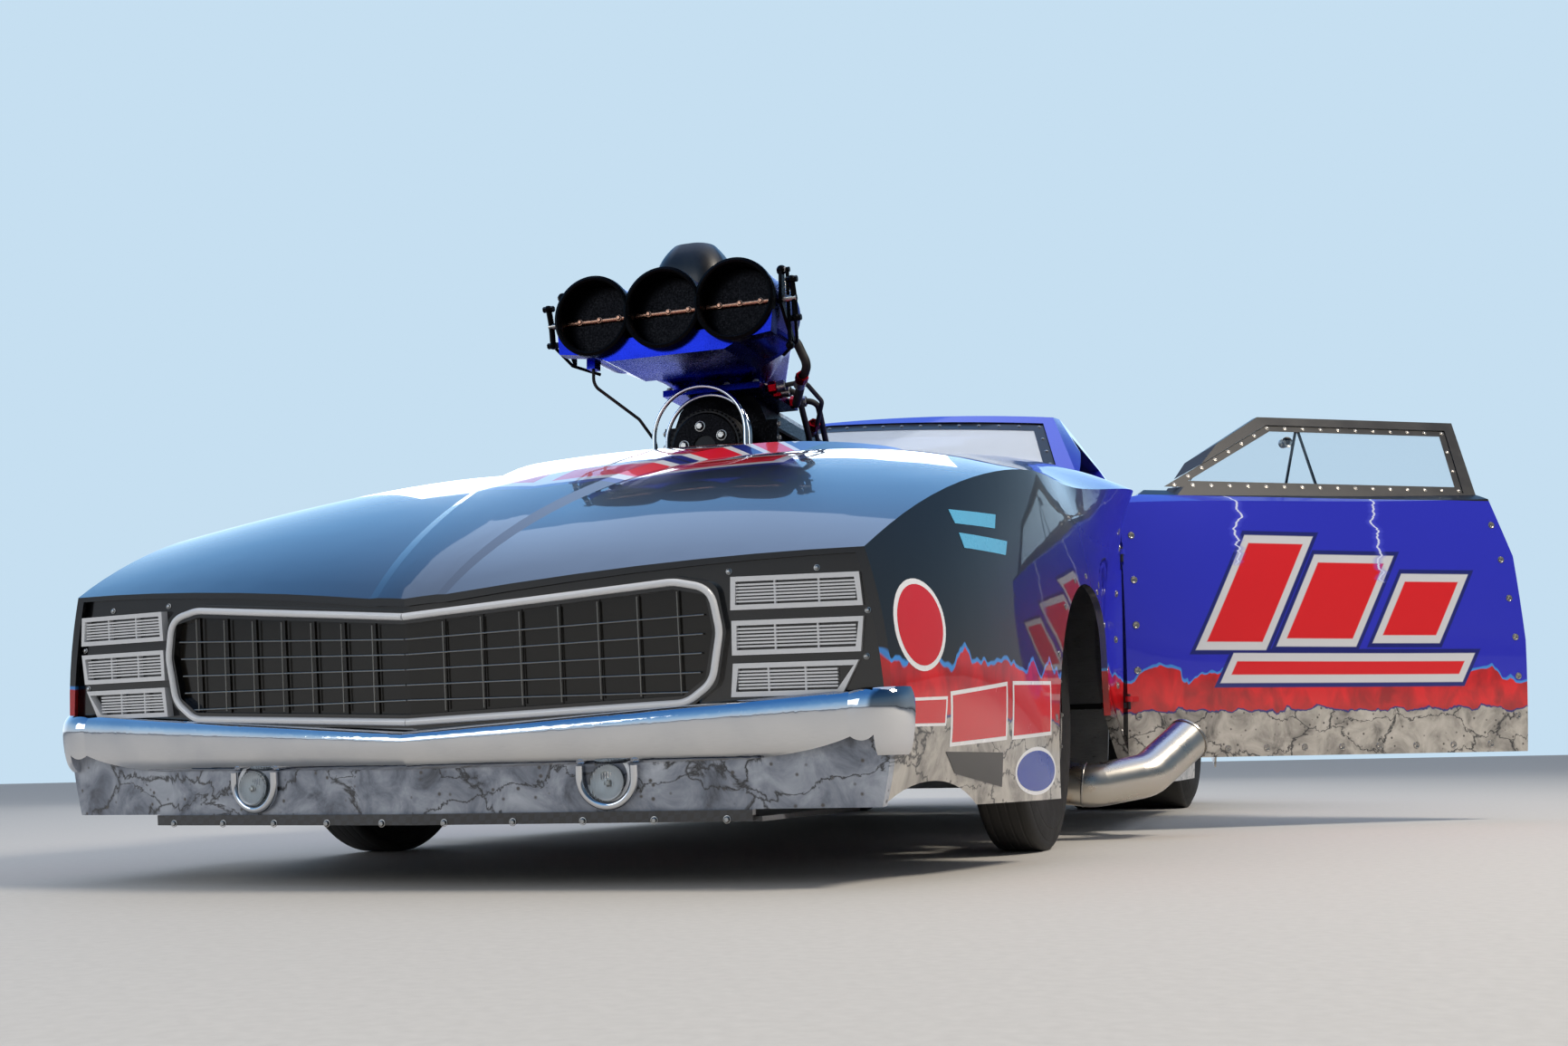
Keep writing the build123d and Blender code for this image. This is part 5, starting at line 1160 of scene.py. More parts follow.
@dataclass
class Nose:
    """The screws of the fascia and the strip, the grille's wires and bead, and the signals' bowls.

    The fascia leans forward by lean for each unit it climbs, and each half sweeps back by
    sweep degrees. Other sizes are in millimetres, or in metres for a radius of a mesh.
    """

    lean: float = 0.10
    sweep: float = 7.3
    nose_y: float = -1177.0
    reference_z: float = 460.0
    cover_screws: tuple = ((552, 286), (778, 430), (772, 358), (700, 500), (556, 500))
    wire_radius: float = 0.0013
    wire_proud: float = 3.6
    wire_rows: int = 5
    wire_columns: int = 7
    ring: tuple = ((-90, 450), (0, 458), (470, 496), (540, 482), (553, 404), (536, 318), (486, 282),
                   (0, 263), (-90, 265))
    bead_inset: float = 10.5
    bead_proud: float = 6.4
    bead_radius: float = 0.0062
    signal_x: float = 346.0

    def spot(self, along: float, z: float, proud: float) -> Vector:
        """Gives a place on the fascia.

        Args:
            along: the distance from the middle along the fascia, below 0 on the passenger's side.
            z: the height.
            proud: how far the place stands out of the fascia.

        Returns:
            The place in the part's metres.
        """
        turn = math.radians(self.sweep)
        side = math.copysign(1.0, along)
        reach = abs(along)
        y = self.nose_y + reach * math.sin(turn) + self.lean * (self.reference_z - z) - proud
        return car(side * reach * math.cos(turn), y, z)

    def screws(self) -> None:
        """Puts button screws round the covers, ring and strip."""
        piece = Piece("fascia_screws")
        for side in (-1, 1):
            for u, z in self.cover_screws:
                piece.screw(self.spot(side * u, z, -11.5), (0, -1, 0.1), 0.0035, 0.003, 10)
            for n in range(5):
                piece.screw(self.spot(side * (60 + 120 * n), 108, 8.2), (0, -1, 0), 0.0045, 0.004)
        piece.done("brushed_steel", "car", "bright_steel")

    def wires(self) -> None:
        """Lays a thin bright wire along each rib of the grille, inside the ring's opening."""
        piece = Piece("grille_wires")
        low, high = 285.0, 436.0
        ends = []
        for n in range(1, self.wire_rows + 1):
            t = n / (self.wire_rows + 1)
            start = low + (high - low) * t - 0.8
            ends.append(((1.0, start), (500 + 20 * t, start + (36 * t - 6) * 520 / 580)))
        for n in range(1, self.wire_columns + 1):
            u = 540.0 * n / (self.wire_columns + 1) + 1.2
            ends.append(((u, 289 + 19 * u / 486), (u, 432 + 38 * u / 470)))
        for side in (-1, 1):
            for pair in ends:
                piece.tube([self.spot(side * u, z, self.wire_proud) for u, z in pair],
                           self.wire_radius, 8)
        piece.done("grille_wire", "car", "bright_steel")

    def bead(self) -> None:
        """Runs a bright bead with rounded corners along the middle of the grille's ring."""
        piece = Piece("grille_bead")
        corners = [Vector(spot) for spot in shrunk(self.ring, self.bead_inset)][1:-1]
        run = [corners[0]]
        for before, corner, after in zip(corners, corners[1:], corners[2:]):
            a, b = (before - corner).normalized(), (after - corner).normalized()
            reach = min(30.0 * math.tan((math.pi - a.angle(b)) / 2) + 8,
                        0.45 * (before - corner).length, 0.45 * (after - corner).length)
            start, end = corner + a * reach, corner + b * reach
            for t in (n / 8 for n in range(9)):
                run.append(start * (1 - t) ** 2 + corner * 2 * t * (1 - t) + end * t ** 2)
        run.append(corners[-1])
        for side in (-1.0, 1.0):
            path = [self.spot(side * max(place.x, 0.001), place.y, self.bead_proud)
                    for place in run]
            piece.tube(path, self.bead_radius, 12)
        # The bead wears the near-white trim, a painted reflection standing in for the chromed ring
        piece.done("bright_trim", "car", "polished")

    def bowls(self) -> None:
        """Backs each turn signal with a bright plate and dish, and puts a bulb in it."""
        bright, bulbs = Piece("signal_bowls"), Piece("signal_bulbs")
        out = Vector((0, -1, 0.10))
        for side in (-1, 1):
            x = side * self.signal_x
            bright.lathe([(0.0006, 0.0385), (0.0022, 0.0375), (0.0014, 0.031)],
                         self.spot(x, 177, 0.3), out, 44)
            bright.lathe([(0.0120, 0.0285), (0.0060, 0.0240), (0.0026, 0.0150), (0.0016, 0.0)],
                         self.spot(x, 168, 0.3), out, 40)
            bulbs.lathe([(0.0, 0.0045), (0.006, 0.0060), (0.010, 0.0040), (0.011, 0.0)],
                        self.spot(x, 168, 1.2), out, 16)
        # The plates and dishes wear the near-white trim, a painted reflection standing in for
        # silver bowls
        bright.done("bright_trim", "car", "chrome")
        bulbs.done("brushed_steel", "car", "bright_steel")

    def build(self) -> None:
        """Makes the nose's small pieces."""
        self.screws()
        self.wires()
        self.bead()
        self.bowls()


@dataclass
class InjectorHat:
    """Black lips, shaft screws, side levers, flange bolts and fuel fittings of the injector hat.

    Sizes are in millimetres.
    """

    pitch: float = 183.0
    mouth_y: float = -104.0
    height: float = 1268.0
    bore: float = 88.0
    wall: float = 9.0
    shaft_y: float = -60.0

    def lips(self) -> None:
        """Turns a rolled black lip round each throat, and a black sleeve closed at its foot, which
        paints the shade deep inside the throat.
        """
        piece = Piece("throat_lips")
        inner, outer = self.bore / 1000, (self.bore + self.wall) / 1000
        lip = [(0.001, inner - 0.002), (-0.006, inner), (-0.009, (inner + outer) / 2),
               (-0.006, outer + 0.002), (0.004, outer + 0.003), (0.016, outer + 0.002),
               (0.016, outer), (0.0, outer)]
        # The sleeve's black and its closed foot are painted shade for the deep throat
        shade_plug = [(0.002, inner), (0.166, inner - 0.001), (0.166, 0.0)]
        for n in (-1, 0, 1):
            for profile in (lip, shade_plug):
                piece.lathe(profile, car(n * self.pitch, self.mouth_y, self.height), (0, 1, 0), 64)
        piece.done("black_anodised", "car", "black_metal")

    def shaft(self) -> None:
        """Sleeves the shaft in each throat and puts three screws on it."""
        piece = Piece("shaft_sleeves")
        for n in (-1, 0, 1):
            middle = n * self.pitch
            piece.lathe([(-0.0865, 0.0061), (-0.0865, 0.0066), (0.0865, 0.0066), (0.0865, 0.0061)],
                        car(middle, self.shaft_y, self.height), (1, 0, 0), 20)
            for step in (-1, 0, 1):
                piece.screw(car(middle + step * 52, self.shaft_y - 6.5, self.height), (0, -1, 0),
                            0.0050, 0.005)
        piece.done("copper_shaft", "car", "bright_steel")

    def levers(self) -> None:
        """Adds clevis pins, return springs and their posts to the levers on both sides."""
        steel, coils, arms = Piece("lever_pins"), Piece("return_springs"), Piece("outer_levers")
        for side in (-1, 1):
            for rise in (0, 70):
                steel.lathe([(-0.010, 0.0), (-0.010, 0.0085), (0.010, 0.0085), (0.012, 0.006),
                             (0.012, 0.0)], car(side * 286, self.shaft_y, self.height + rise),
                            (side, 0, 0), 6)
            top = car(side * 281, self.shaft_y + 12, self.height + 66)
            foot = car(side * 262, 66, self.height - 40)
            coils.spring(top, foot, 0.0062, 0.0013, 22)
            steel.tube([car(side * 240, 66, self.height - 40), foot], 0.0045, 10)
            steel.screw(foot, (side, 0, 0), 0.0055, 0.005)
            # A second lever stands outside each shaft end, clear of the lips
            out = car(side * 316, self.shaft_y, self.height)
            steel.lathe([(0.0, 0.0), (0.0, 0.008), (0.036, 0.008), (0.036, 0.0)],
                        car(side * 286, self.shaft_y, self.height), (side, 0, 0), 16)
            ends = (out + Vector((0, -0.016, 0.040)), out + Vector((0, 0.008, -0.046)))
            arms.tube([ends[0], out, ends[1]], 0.0075, 10)
            for end in ends:
                arms.lathe([(-0.014, 0.0), (-0.014, 0.0075), (0.014, 0.0075), (0.014, 0.0)], end,
                           (1, 0, 0), 6)
                arms.lathe([(-0.010, 0.0), (-0.007, 0.008), (0.0, 0.011), (0.007, 0.008),
                            (0.010, 0.0)], end, (0, 0, 1), 12)
            arms.tube([ends[1], car(side * 296, 14, self.height - 84),
                       car(side * 244, 64, self.height - 100)], 0.0042, 8)
        steel.done("brushed_steel", "car", "bright_steel")
        arms.done("black_anodised", "car", "black_metal")
        coils.done("brushed_steel", "car", "bright_steel")

    def bolts(self) -> None:
        """Puts bolts round the flange and studs on the hat's sides."""
        piece = Piece("hat_bolts")
        for x in (-118, -40, 40, 118):
            for y in (208, 478):
                piece.screw(car(x, y, 1144), (0, 0, 1), 0.008, 0.008)
        for y in (260, 340, 420):
            for side in (-1, 1):
                piece.screw(car(side * 122, y, 1144), (0, 0, 1), 0.008, 0.008)
        piece.done("brushed_steel", "car", "bright_steel")

    def fittings(self) -> None:
        """Puts red and silver hose ends on the hoses of the driver's side."""
        red, bright = Piece("hose_ends_red"), Piece("hose_ends_bright")
        for start, axis in (((226, 119.5, 1213), (48, -32, 4)), ((136, 300, 1136), (1, 0, 0)),
                ((136, 420.5, 1136), (74, 10, 0)), ((137, 250.9, 1136.5), (94, 20, 14)),
                ((268, 130.5, 1129.5), (-42, 68, -38)), ((183, 440, 1000), (-14, 80, -80)),
                ((194, 440, 1080), (-40, 78, -55))):
            a, d = car(*start), Vector(axis).normalized()
            red.lathe([(0, 0.0115), (0, 0.0165), (0.018, 0.0165), (0.02, 0.014), (0.02, 0.0115)], a,
                      d, 6)
            bright.lathe([(0, 0.0115), (0, 0.0145), (0.020, 0.0145), (0.022, 0.0115)],
                         a + d * 0.021, d, 12)
        red.done("red_anodised", "car", "anodised_blue")
        bright.done("brushed_steel", "car", "bright_steel")

    def build(self) -> None:
        """Makes the hat's pieces."""
        self.lips()
        self.shaft()
        self.levers()
        self.bolts()
        self.fittings()


@dataclass
class BlowerDrive:
    """Belt teeth, pulley bolts and case studs, with sizes in millimetres."""

    pulley_z: float = 978.0
    pulley_r: float = 92.0
    face_y: float = 152.0
    teeth: int = 46

    def belt(self) -> None:
        """Sets teeth round the upper pulley, and a dished cover on its face."""
        piece = Piece("pulley_teeth")
        for n in range(self.teeth):
            a = 2 * math.pi * n / self.teeth
            out = Vector((math.cos(a), 0, math.sin(a)))
            across = Vector((-math.sin(a), 0, math.cos(a)))
            base = car(0, self.face_y - 0.2, self.pulley_z) + out * (self.pulley_r + 0.2) / 1000
            foot, tip, tall = across * 0.0028, across * 0.00196, out * 0.0048
            piece.slab([base - foot, base + foot, base + tip + tall, base - tip + tall],
                       (0, 0.006, 0))
        piece.lathe([(-0.004, 0.030), (-0.004, 0.084), (-0.001, 0.088), (0.0, 0.088)],
                    car(0, self.face_y, self.pulley_z), (0, 1, 0), 64)
        piece.done("black_anodised", "car", "black_metal")

    def bolts(self) -> None:
        """Puts the pulley's bolts and the blower's case studs."""
        piece = Piece("blower_bolts")
        for n in range(5):
            a = 2 * math.pi * n / 5 + 0.5
            piece.screw(car(54 * math.cos(a), self.face_y - 4.2, self.pulley_z + 54 * math.sin(a)),
                        (0, -1, 0), 0.0095, 0.009)
        for z in (890, 930, 970, 1010, 1046):
            for side in (-1, 1):
                for y in (266, 762):
                    piece.screw(car(side * 154.3, y, z), (side, 0, 0), 0.0065, 0.007)
        piece.done("brushed_steel", "car", "bright_steel")

    def build(self) -> None:
        """Makes the drive's pieces."""
        self.belt()
        self.bolts()


@dataclass
class Glazing:
    """Black borders and rows of screws on the clear sheets, laid on the cabin's own surfaces.

    Each corner of the cabin is given as x and y at the belt and x and y at the roof, and each
    window as the corners of its opening, all in millimetres.
    """

    base_z: float = 862.0
    top_z: float = 1300.0
    wind_centre: tuple[float, ...] = (0, 619, 0, 1288)
    wind_corner: tuple[float, ...] = (841, 886, 640, 1393)
    a_pillar: tuple[float, ...] = (904, 964, 640, 1450)
    c_pillar: tuple[float, ...] = (889, 2560, 628, 2060)
    back_corner: tuple[float, ...] = (770, 2700, 560, 2000)
    back_centre: tuple[float, ...] = (0, 2757, 0, 2035)
    wind: tuple = ((-742, 972), (742, 972), (652, 1198), (0, 1236), (-652, 1198))
    back: tuple = ((-640, 992), (640, 992), (560, 1186), (0, 1206), (-560, 1186))
    quarter: tuple = ((2100, 938), (2330, 948), (2180, 1130), (2110, 1146))
    door: tuple = ((975, 926), (1382, 1140), (1990, 1146), (1938, 932))
    glass_inset: float = 3.4
    band_thickness: float = 0.5
    band_pitch: float = 40.0
    screw_pitch: float = 58.0
    edge_gap: float = 0.6

    def corner(self, row: Sequence[float], z: float, inset: float, dx: float,
               dy: float) -> tuple[float, float]:
        """Gives a cabin corner at a height.

        Args:
            row: the corner's x and y at the belt, then at the roof.
            z: the height.
            inset: how far the surface lies inside the body.
            dx: the share of the inset that goes inward.
            dy: the share of the inset that goes back.

        Returns:
            The corner's x and y.
        """
        t = (z - self.base_z) / (self.top_z - self.base_z)
        return (row[0] + (row[2] - row[0]) * t - dx * inset,
                row[1] + (row[3] - row[1]) * t + dy * inset)

    def on_front(self, x: float, z: float, inset: float) -> Vector:
        """Gives a point of the windshield's surface.

        Args:
            x: its place across the car.
            z: its height.
            inset: how far the surface lies inside the body.

        Returns:
            The point in the part's metres.
        """
        middle = self.corner(self.wind_centre, z, inset, 0, 1.8)
        side = self.corner(self.wind_corner, z, inset, 1.2, 1.6)
        rise = side[1] - middle[1]
        radius = (side[0] ** 2 + rise ** 2) / (2 * rise)
        return car(x, middle[1] + radius - math.sqrt(radius ** 2 - x * x), z)

    def on_back(self, x: float, z: float, inset: float) -> Vector:
        """Gives a point of the rear window's surface.

        Args:
            x: its place across the car.
            z: its height.
            inset: how far the surface lies inside the body.

        Returns:
            The point in the part's metres.
        """
        middle = self.corner(self.back_centre, z, inset, 0, -1.8)
        side = self.corner(self.back_corner, z, inset, 1.2, -1.8)
        rise = middle[1] - side[1]
        radius = (side[0] ** 2 + rise ** 2) / (2 * rise)
        return car(x, middle[1] - radius + math.sqrt(radius ** 2 - x * x), z)

    def on_side(self, y: float, z: float, inset: float) -> Vector:
        """Gives a point of the driver's side glass.

        Args:
            y: its place along the car.
            z: its height.
            inset: how far the surface lies inside the body.

        Returns:
            The point in the part's metres.
        """
        front = self.corner(self.a_pillar, z, inset, 1.2, 1.2)
        rear = self.corner(self.c_pillar, z, inset, 1.2, -1.2)
        return car(front[0] + (rear[0] - front[0]) * (y - front[1]) / (rear[1] - front[1]), y, z)

    def along(self, outline: Outline, pitch: float) -> list[tuple[float, float]]:
        """Spaces points evenly along each side of an outline.

        Args:
            outline: the corners.
            pitch: about how far apart the points are.

        Returns:
            The points, with each corner once.
        """
        spots = []
        for a, b in around(outline):
            count = max(1, round(math.dist(a, b) / pitch))
            spots += [(a[0] + (b[0] - a[0]) * n / count, a[1] + (b[1] - a[1]) * n / count)
                      for n in range(count)]
        return spots

    def band(self, piece: Piece, outline: Outline, width: float, surface: Surface,
             turn: Turn) -> None:
        """Lays a flat ring inside an outline.

        Args:
            piece: the piece that gets its faces.
            outline: the outline's corners.
            width: the ring's width.
            surface: gives the point of the glass at two coordinates and an inset.
            turn: carries each point to where its panel stands.
        """
        low, high = self.along(outline, self.band_pitch), []
        for (a, b), (c, d) in zip(around(outline), around(shrunk(outline, width))):
            count = max(1, round(math.dist(a, b) / self.band_pitch))
            high += [(c[0] + (d[0] - c[0]) * n / count, c[1] + (d[1] - c[1]) * n / count)
                     for n in range(count)]
        outer, inner = self.glass_inset, self.glass_inset + self.band_thickness
        rows = [[piece.bm.verts.new(turn(surface(*spot, inset))) for spot in spots]
                for spots, inset in ((low, outer), (high, outer), (high, inner), (low, inner))]
        count = len(low)
        for n in range(count):
            m = (n + 1) % count
            for a, b in ((0, 1), (1, 2), (2, 3), (3, 0)):
                piece.bm.faces.new((rows[a][n], rows[a][m], rows[b][m], rows[b][n]))

    def screws(self, piece: Piece, outline: Outline, surface: Surface, turn: Turn) -> None:
        """Sets button screws along an outline, square to the surface.

        Args:
            piece: the piece that gets their faces.
            outline: the outline's corners.
            surface: gives the point of the glass at two coordinates and an inset.
            turn: carries each point to where its panel stands.
        """
        inset = self.glass_inset
        for u, v in self.along(outline, self.screw_pitch):
            spot = turn(surface(u, v, inset))
            beside = turn(surface(u + 5, v, inset)) - spot
            above = turn(surface(u, v + 5, inset)) - spot
            out = beside.cross(above).normalized()
            if out.dot(spot - turn(surface(u, v, inset + 30))) < 0:
                out = -out
            piece.screw(spot - out * 0.0004, out, 0.0042, 0.0030, 10)

    def build(self) -> None:
        """Makes the borders and screws of all windows."""
        rows = (
            ("windshield", "car", self.wind, self.on_front, as_is, 30.0),
            ("rear_window", "car", self.back, self.on_back, as_is, 26.0),
            ("quarter_left", "car", self.quarter, self.on_side, as_is, 18.0),
            ("quarter_right", "car", self.quarter, self.on_side, mirrored, 18.0),
            ("driver_door_glass", "driver_door", self.door, self.on_side, opened, 20.0),
            ("passenger_door_glass", "passenger_door", self.door, self.on_side, mirrored, 20.0))
        for name, body, outline, surface, turn, width in rows:
            border = Piece(name + "_border")
            self.band(border, shrunk(outline, self.edge_gap), width, surface, turn)
            border.done("body_black", body, "black_plastic")
            heads = Piece(name + "_screws")
            self.screws(heads, shrunk(outline, width * 0.45), surface, turn)
            heads.done("brushed_steel", body, "bright_steel")


class Shape(Enum):
    """The outline of a blank vinyl patch."""

    PANEL = 0
    OVAL = 1


@dataclass(frozen=True)
class Patch:
    """One blank vinyl patch: its outline as (along, up) in millimetres, its rim and its colours."""

    shape: Shape
    spots: tuple[tuple[float, float], ...]
    colour: str
    rim: float = 0.0


PATCHES = (
    Patch(Shape.OVAL, ((-974, 411), (72, 75)), "vinyl_red", 9.0),
    Patch(Shape.PANEL, ((-1024, 247), (-892, 250), (-896, 298), (-1028, 292)), "vinyl_red", 5.0),
    Patch(Shape.PANEL, ((-868, 216), (-650, 228), (-658, 330), (-888, 306)), "vinyl_red", 7.0),
    Patch(Shape.PANEL, ((-628, 228), (-424, 238), (-412, 340), (-632, 332)), "vinyl_red", 7.0),
    Patch(Shape.OVAL, ((-502, 172), (100, 44)), "vinyl_blue", 7.0),
    Patch(Shape.PANEL, ((-830, 172), (-650, 146), (-662, 206), (-878, 208)), "vinyl_black", 0.0),
    Patch(Shape.PANEL, ((-790, 556), (-610, 562), (-590, 590), (-796, 582)), "vinyl_sky", 0.0),
    Patch(Shape.PANEL, ((-800, 598), (-640, 608), (-622, 636), (-808, 622)), "vinyl_sky", 0.0),
)


@dataclass
class Decals:
    """Blank vinyl patches on both front fenders, with a pale rim round each colour."""

    start_x: float = 1300.0
    steps: int = 12
    facets: int = 40
    rings: int = 6
    colour_lift: float = 0.0009
    rim_lift: float = 0.0005

    def rows(self, patch: Patch, inset: float) -> list[list[tuple[float, float]]]:
        """Spaces points over a patch.

        Args:
            patch: the patch.
            inset: how far its edge moves inward.

        Returns:
            Rows of points as (along, up) in millimetres.
        """
        if patch.shape is Shape.OVAL:
            (y, z), (wide, tall) = patch.spots
            angles = [2 * math.pi * n / self.facets for n in range(self.facets)]
            return [[(y + (wide - inset) * k / self.rings * math.cos(a),
                      z + (tall - inset) * k / self.rings * math.sin(a)) for a in angles]
                    for k in (0.02, *range(1, self.rings + 1))]
        a, b, c, d = map(Vector, shrunk(patch.spots, inset) if inset else patch.spots)
        grid = []
        for i in range(self.steps + 1):
            low, high = a.lerp(b, i / self.steps), d.lerp(c, i / self.steps)
            grid.append([tuple(low.lerp(high, j / self.steps)) for j in range(self.steps + 1)])
        return grid

    def build(self) -> None:
        """Lays every patch on the driver's side and mirrors it to the other."""
        skin = Skin("front_clip")
        pieces = {}
        for patch in PATCHES:
            films = [(patch.colour, patch.rim, self.colour_lift)]
            if patch.rim:
                films.append(("vinyl_white", 0.0, self.rim_lift))
            for colour, inset, lift in films:
                grid = [[skin.meet(car(self.start_x, y, z), (-1, 0, 0)) for y, z in row]
                        for row in self.rows(patch, inset)]
                piece = pieces.setdefault(colour, Piece("patches_" + colour))
                closed = patch.shape is Shape.OVAL
                piece.sheet(grid, lift, closed)
                piece.sheet([[(mirrored(place), Vector((-out.x, out.y, out.z)))
                              for place, out in row] for row in grid], lift, closed)
        for colour, piece in pieces.items():
            piece.done(colour, "car", "black_plastic")


@dataclass
class Doors:
    """Window braces, latches, panel fasteners and the riveted inner panels of both doors."""

    # Each door with what carries a point of the passenger's door to it
    turns: tuple = (("passenger_door", as_is), ("driver_door", mirrored_open))
    card_lift: float = 0.0016

    def both(self, points: Sequence[Vector]) -> list[tuple[str, list[Vector]]]:
        """Gives points of the shut driver's door on each door as it stands at rest."""
        return [("driver_door", [opened(p) for p in points]),
                ("passenger_door", [mirrored(p) for p in points])]

    def braces(self) -> None:
        """Fits the two thin rods in each window and the latch at its front corner."""
        glass = Glazing()
        top = glass.on_side(1491, 1140, 14.0)
        feet = [glass.on_side(1352, 918, 12.0), glass.on_side(1462, 918, 12.0)]
        latch = [glass.on_side(1436, 1086, 8.0), glass.on_side(1436, 1086, 30.0)]
        for body, (head, first, second, near, far) in self.both([top, *feet, *latch]):
            piece = Piece(body + "_braces")
            for foot in (first, second):
                piece.tube([foot, foot.lerp(head, 0.5), head], 0.0042, 12)
                piece.lathe([(-0.004, 0.0), (-0.004, 0.009), (0.005, 0.009), (0.005, 0.0)], foot,
                            head - foot, 14)
            piece.done("black_anodised", body, "black_metal")
            knob = Piece(body + "_window_latch")
            knob.lathe([(0.0, 0.016), (0.003, 0.017), (0.006, 0.010), (0.018, 0.008),
                        (0.022, 0.014), (0.030, 0.014), (0.033, 0.010), (0.033, 0.0)], near,
                       far - near, 20)
            knob.done("brushed_steel", body, "bright_steel")

    def fasteners(self) -> None:
        """Sets quarter-turn heads round the edge of each door, square to its skin."""
        skin = Skin("passenger_door")
        spots = [(860 + 118 * n, 212) for n in range(10)]
        spots += [(2010, 290), (2016, 400), (2014, 510), (2004, 620), (1990, 730), (1972, 830)]
        spots += [(840, 300), (840, 420), (840, 540), (840, 660), (840, 780)]
        seats = [skin.meet(car(-1300, y, z), (1, 0, 0)) for y, z in spots]
        for body, turn in self.turns:
            piece = Piece(body + "_fasteners")
            for place, out in seats:
                a, b = turn(place), turn(place + out)
                direction = b - a
                piece.lathe([(0.0002, 0.0), (0.0002, 0.0098), (0.0014, 0.0092), (0.0016, 0.0072),
                             (0.0010, 0.0062), (0.0010, 0.0)], a, direction, 20)
                level = direction.orthogonal().normalized()
                side = direction.cross(level)
                corners = [a + direction * 0.0010 + level * u + side * v for u, v in (
                    (-0.006, -0.0009), (0.006, -0.0009), (0.006, 0.0009), (-0.006, 0.0009))]
                piece.slab(corners, direction * 0.0008)
            piece.done("brushed_steel", body, "bright_steel")

    def cards(self) -> None:
        """Lays an aluminium panel, its rivets and a pull strap inside each door."""
        skin = Skin("passenger_door")
        rows = [[(900 + 95 * i, 260 + 58 * j) for i in range(12)] for j in range(10)]
        seats = [[skin.meet(car(-400, y, z), (-1, 0, 0)) for y, z in row] for row in rows]
        rivets = seats[0] + seats[-1]
        rivets += [row[0] for row in seats[1:-1:2]] + [row[-1] for row in seats[1:-1:2]]
        strap = [seats[5][6], seats[5][8]]
        for body, turn in self.turns:
            panel, heads, pull = (Piece(body + end) for end in ("_panel", "_rivets", "_pull"))
            panel.sheet([[(turn(p), turn(p + out) - turn(p)) for p, out in row] for row in seats],
                        self.card_lift)
            for place, out in rivets:
                a, direction = turn(place + out * self.card_lift), turn(place + out) - turn(place)
                heads.lathe([(-0.0004, 0.0042), (0.0012, 0.0038), (0.0020, 0.0018), (0.0022, 0.0)],
                            a, direction, 12)
            (first, out), (last, _) = strap
            loop = [first + out * 0.002, first.lerp(last, 0.15) + out * 0.020,
                    first.lerp(last, 0.5) + out * 0.034, first.lerp(last, 0.85) + out * 0.020,
                    last + out * 0.002]
            pull.tube([turn(p) for p in loop], 0.011, 12, flat=0.25)
            panel.done("sheet_aluminium", body, "black_metal")
            heads.done("brushed_steel", body, "bright_steel")
            pull.done("harness_web", body, "black_fabric")

    def build(self) -> None:
        """Makes the small pieces of both doors."""
        self.braces()
        self.fasteners()
        self.cards()


@dataclass(frozen=True)
class WheelSize:
    """What the small pieces of one pair of wheels need, in millimetres from its middle plane."""

    place: tuple[float, float, float]
    bead_r: float
    lip_x: float
    hub_x: float
    lug_r: float
    lugs: int
    bead_screws: int


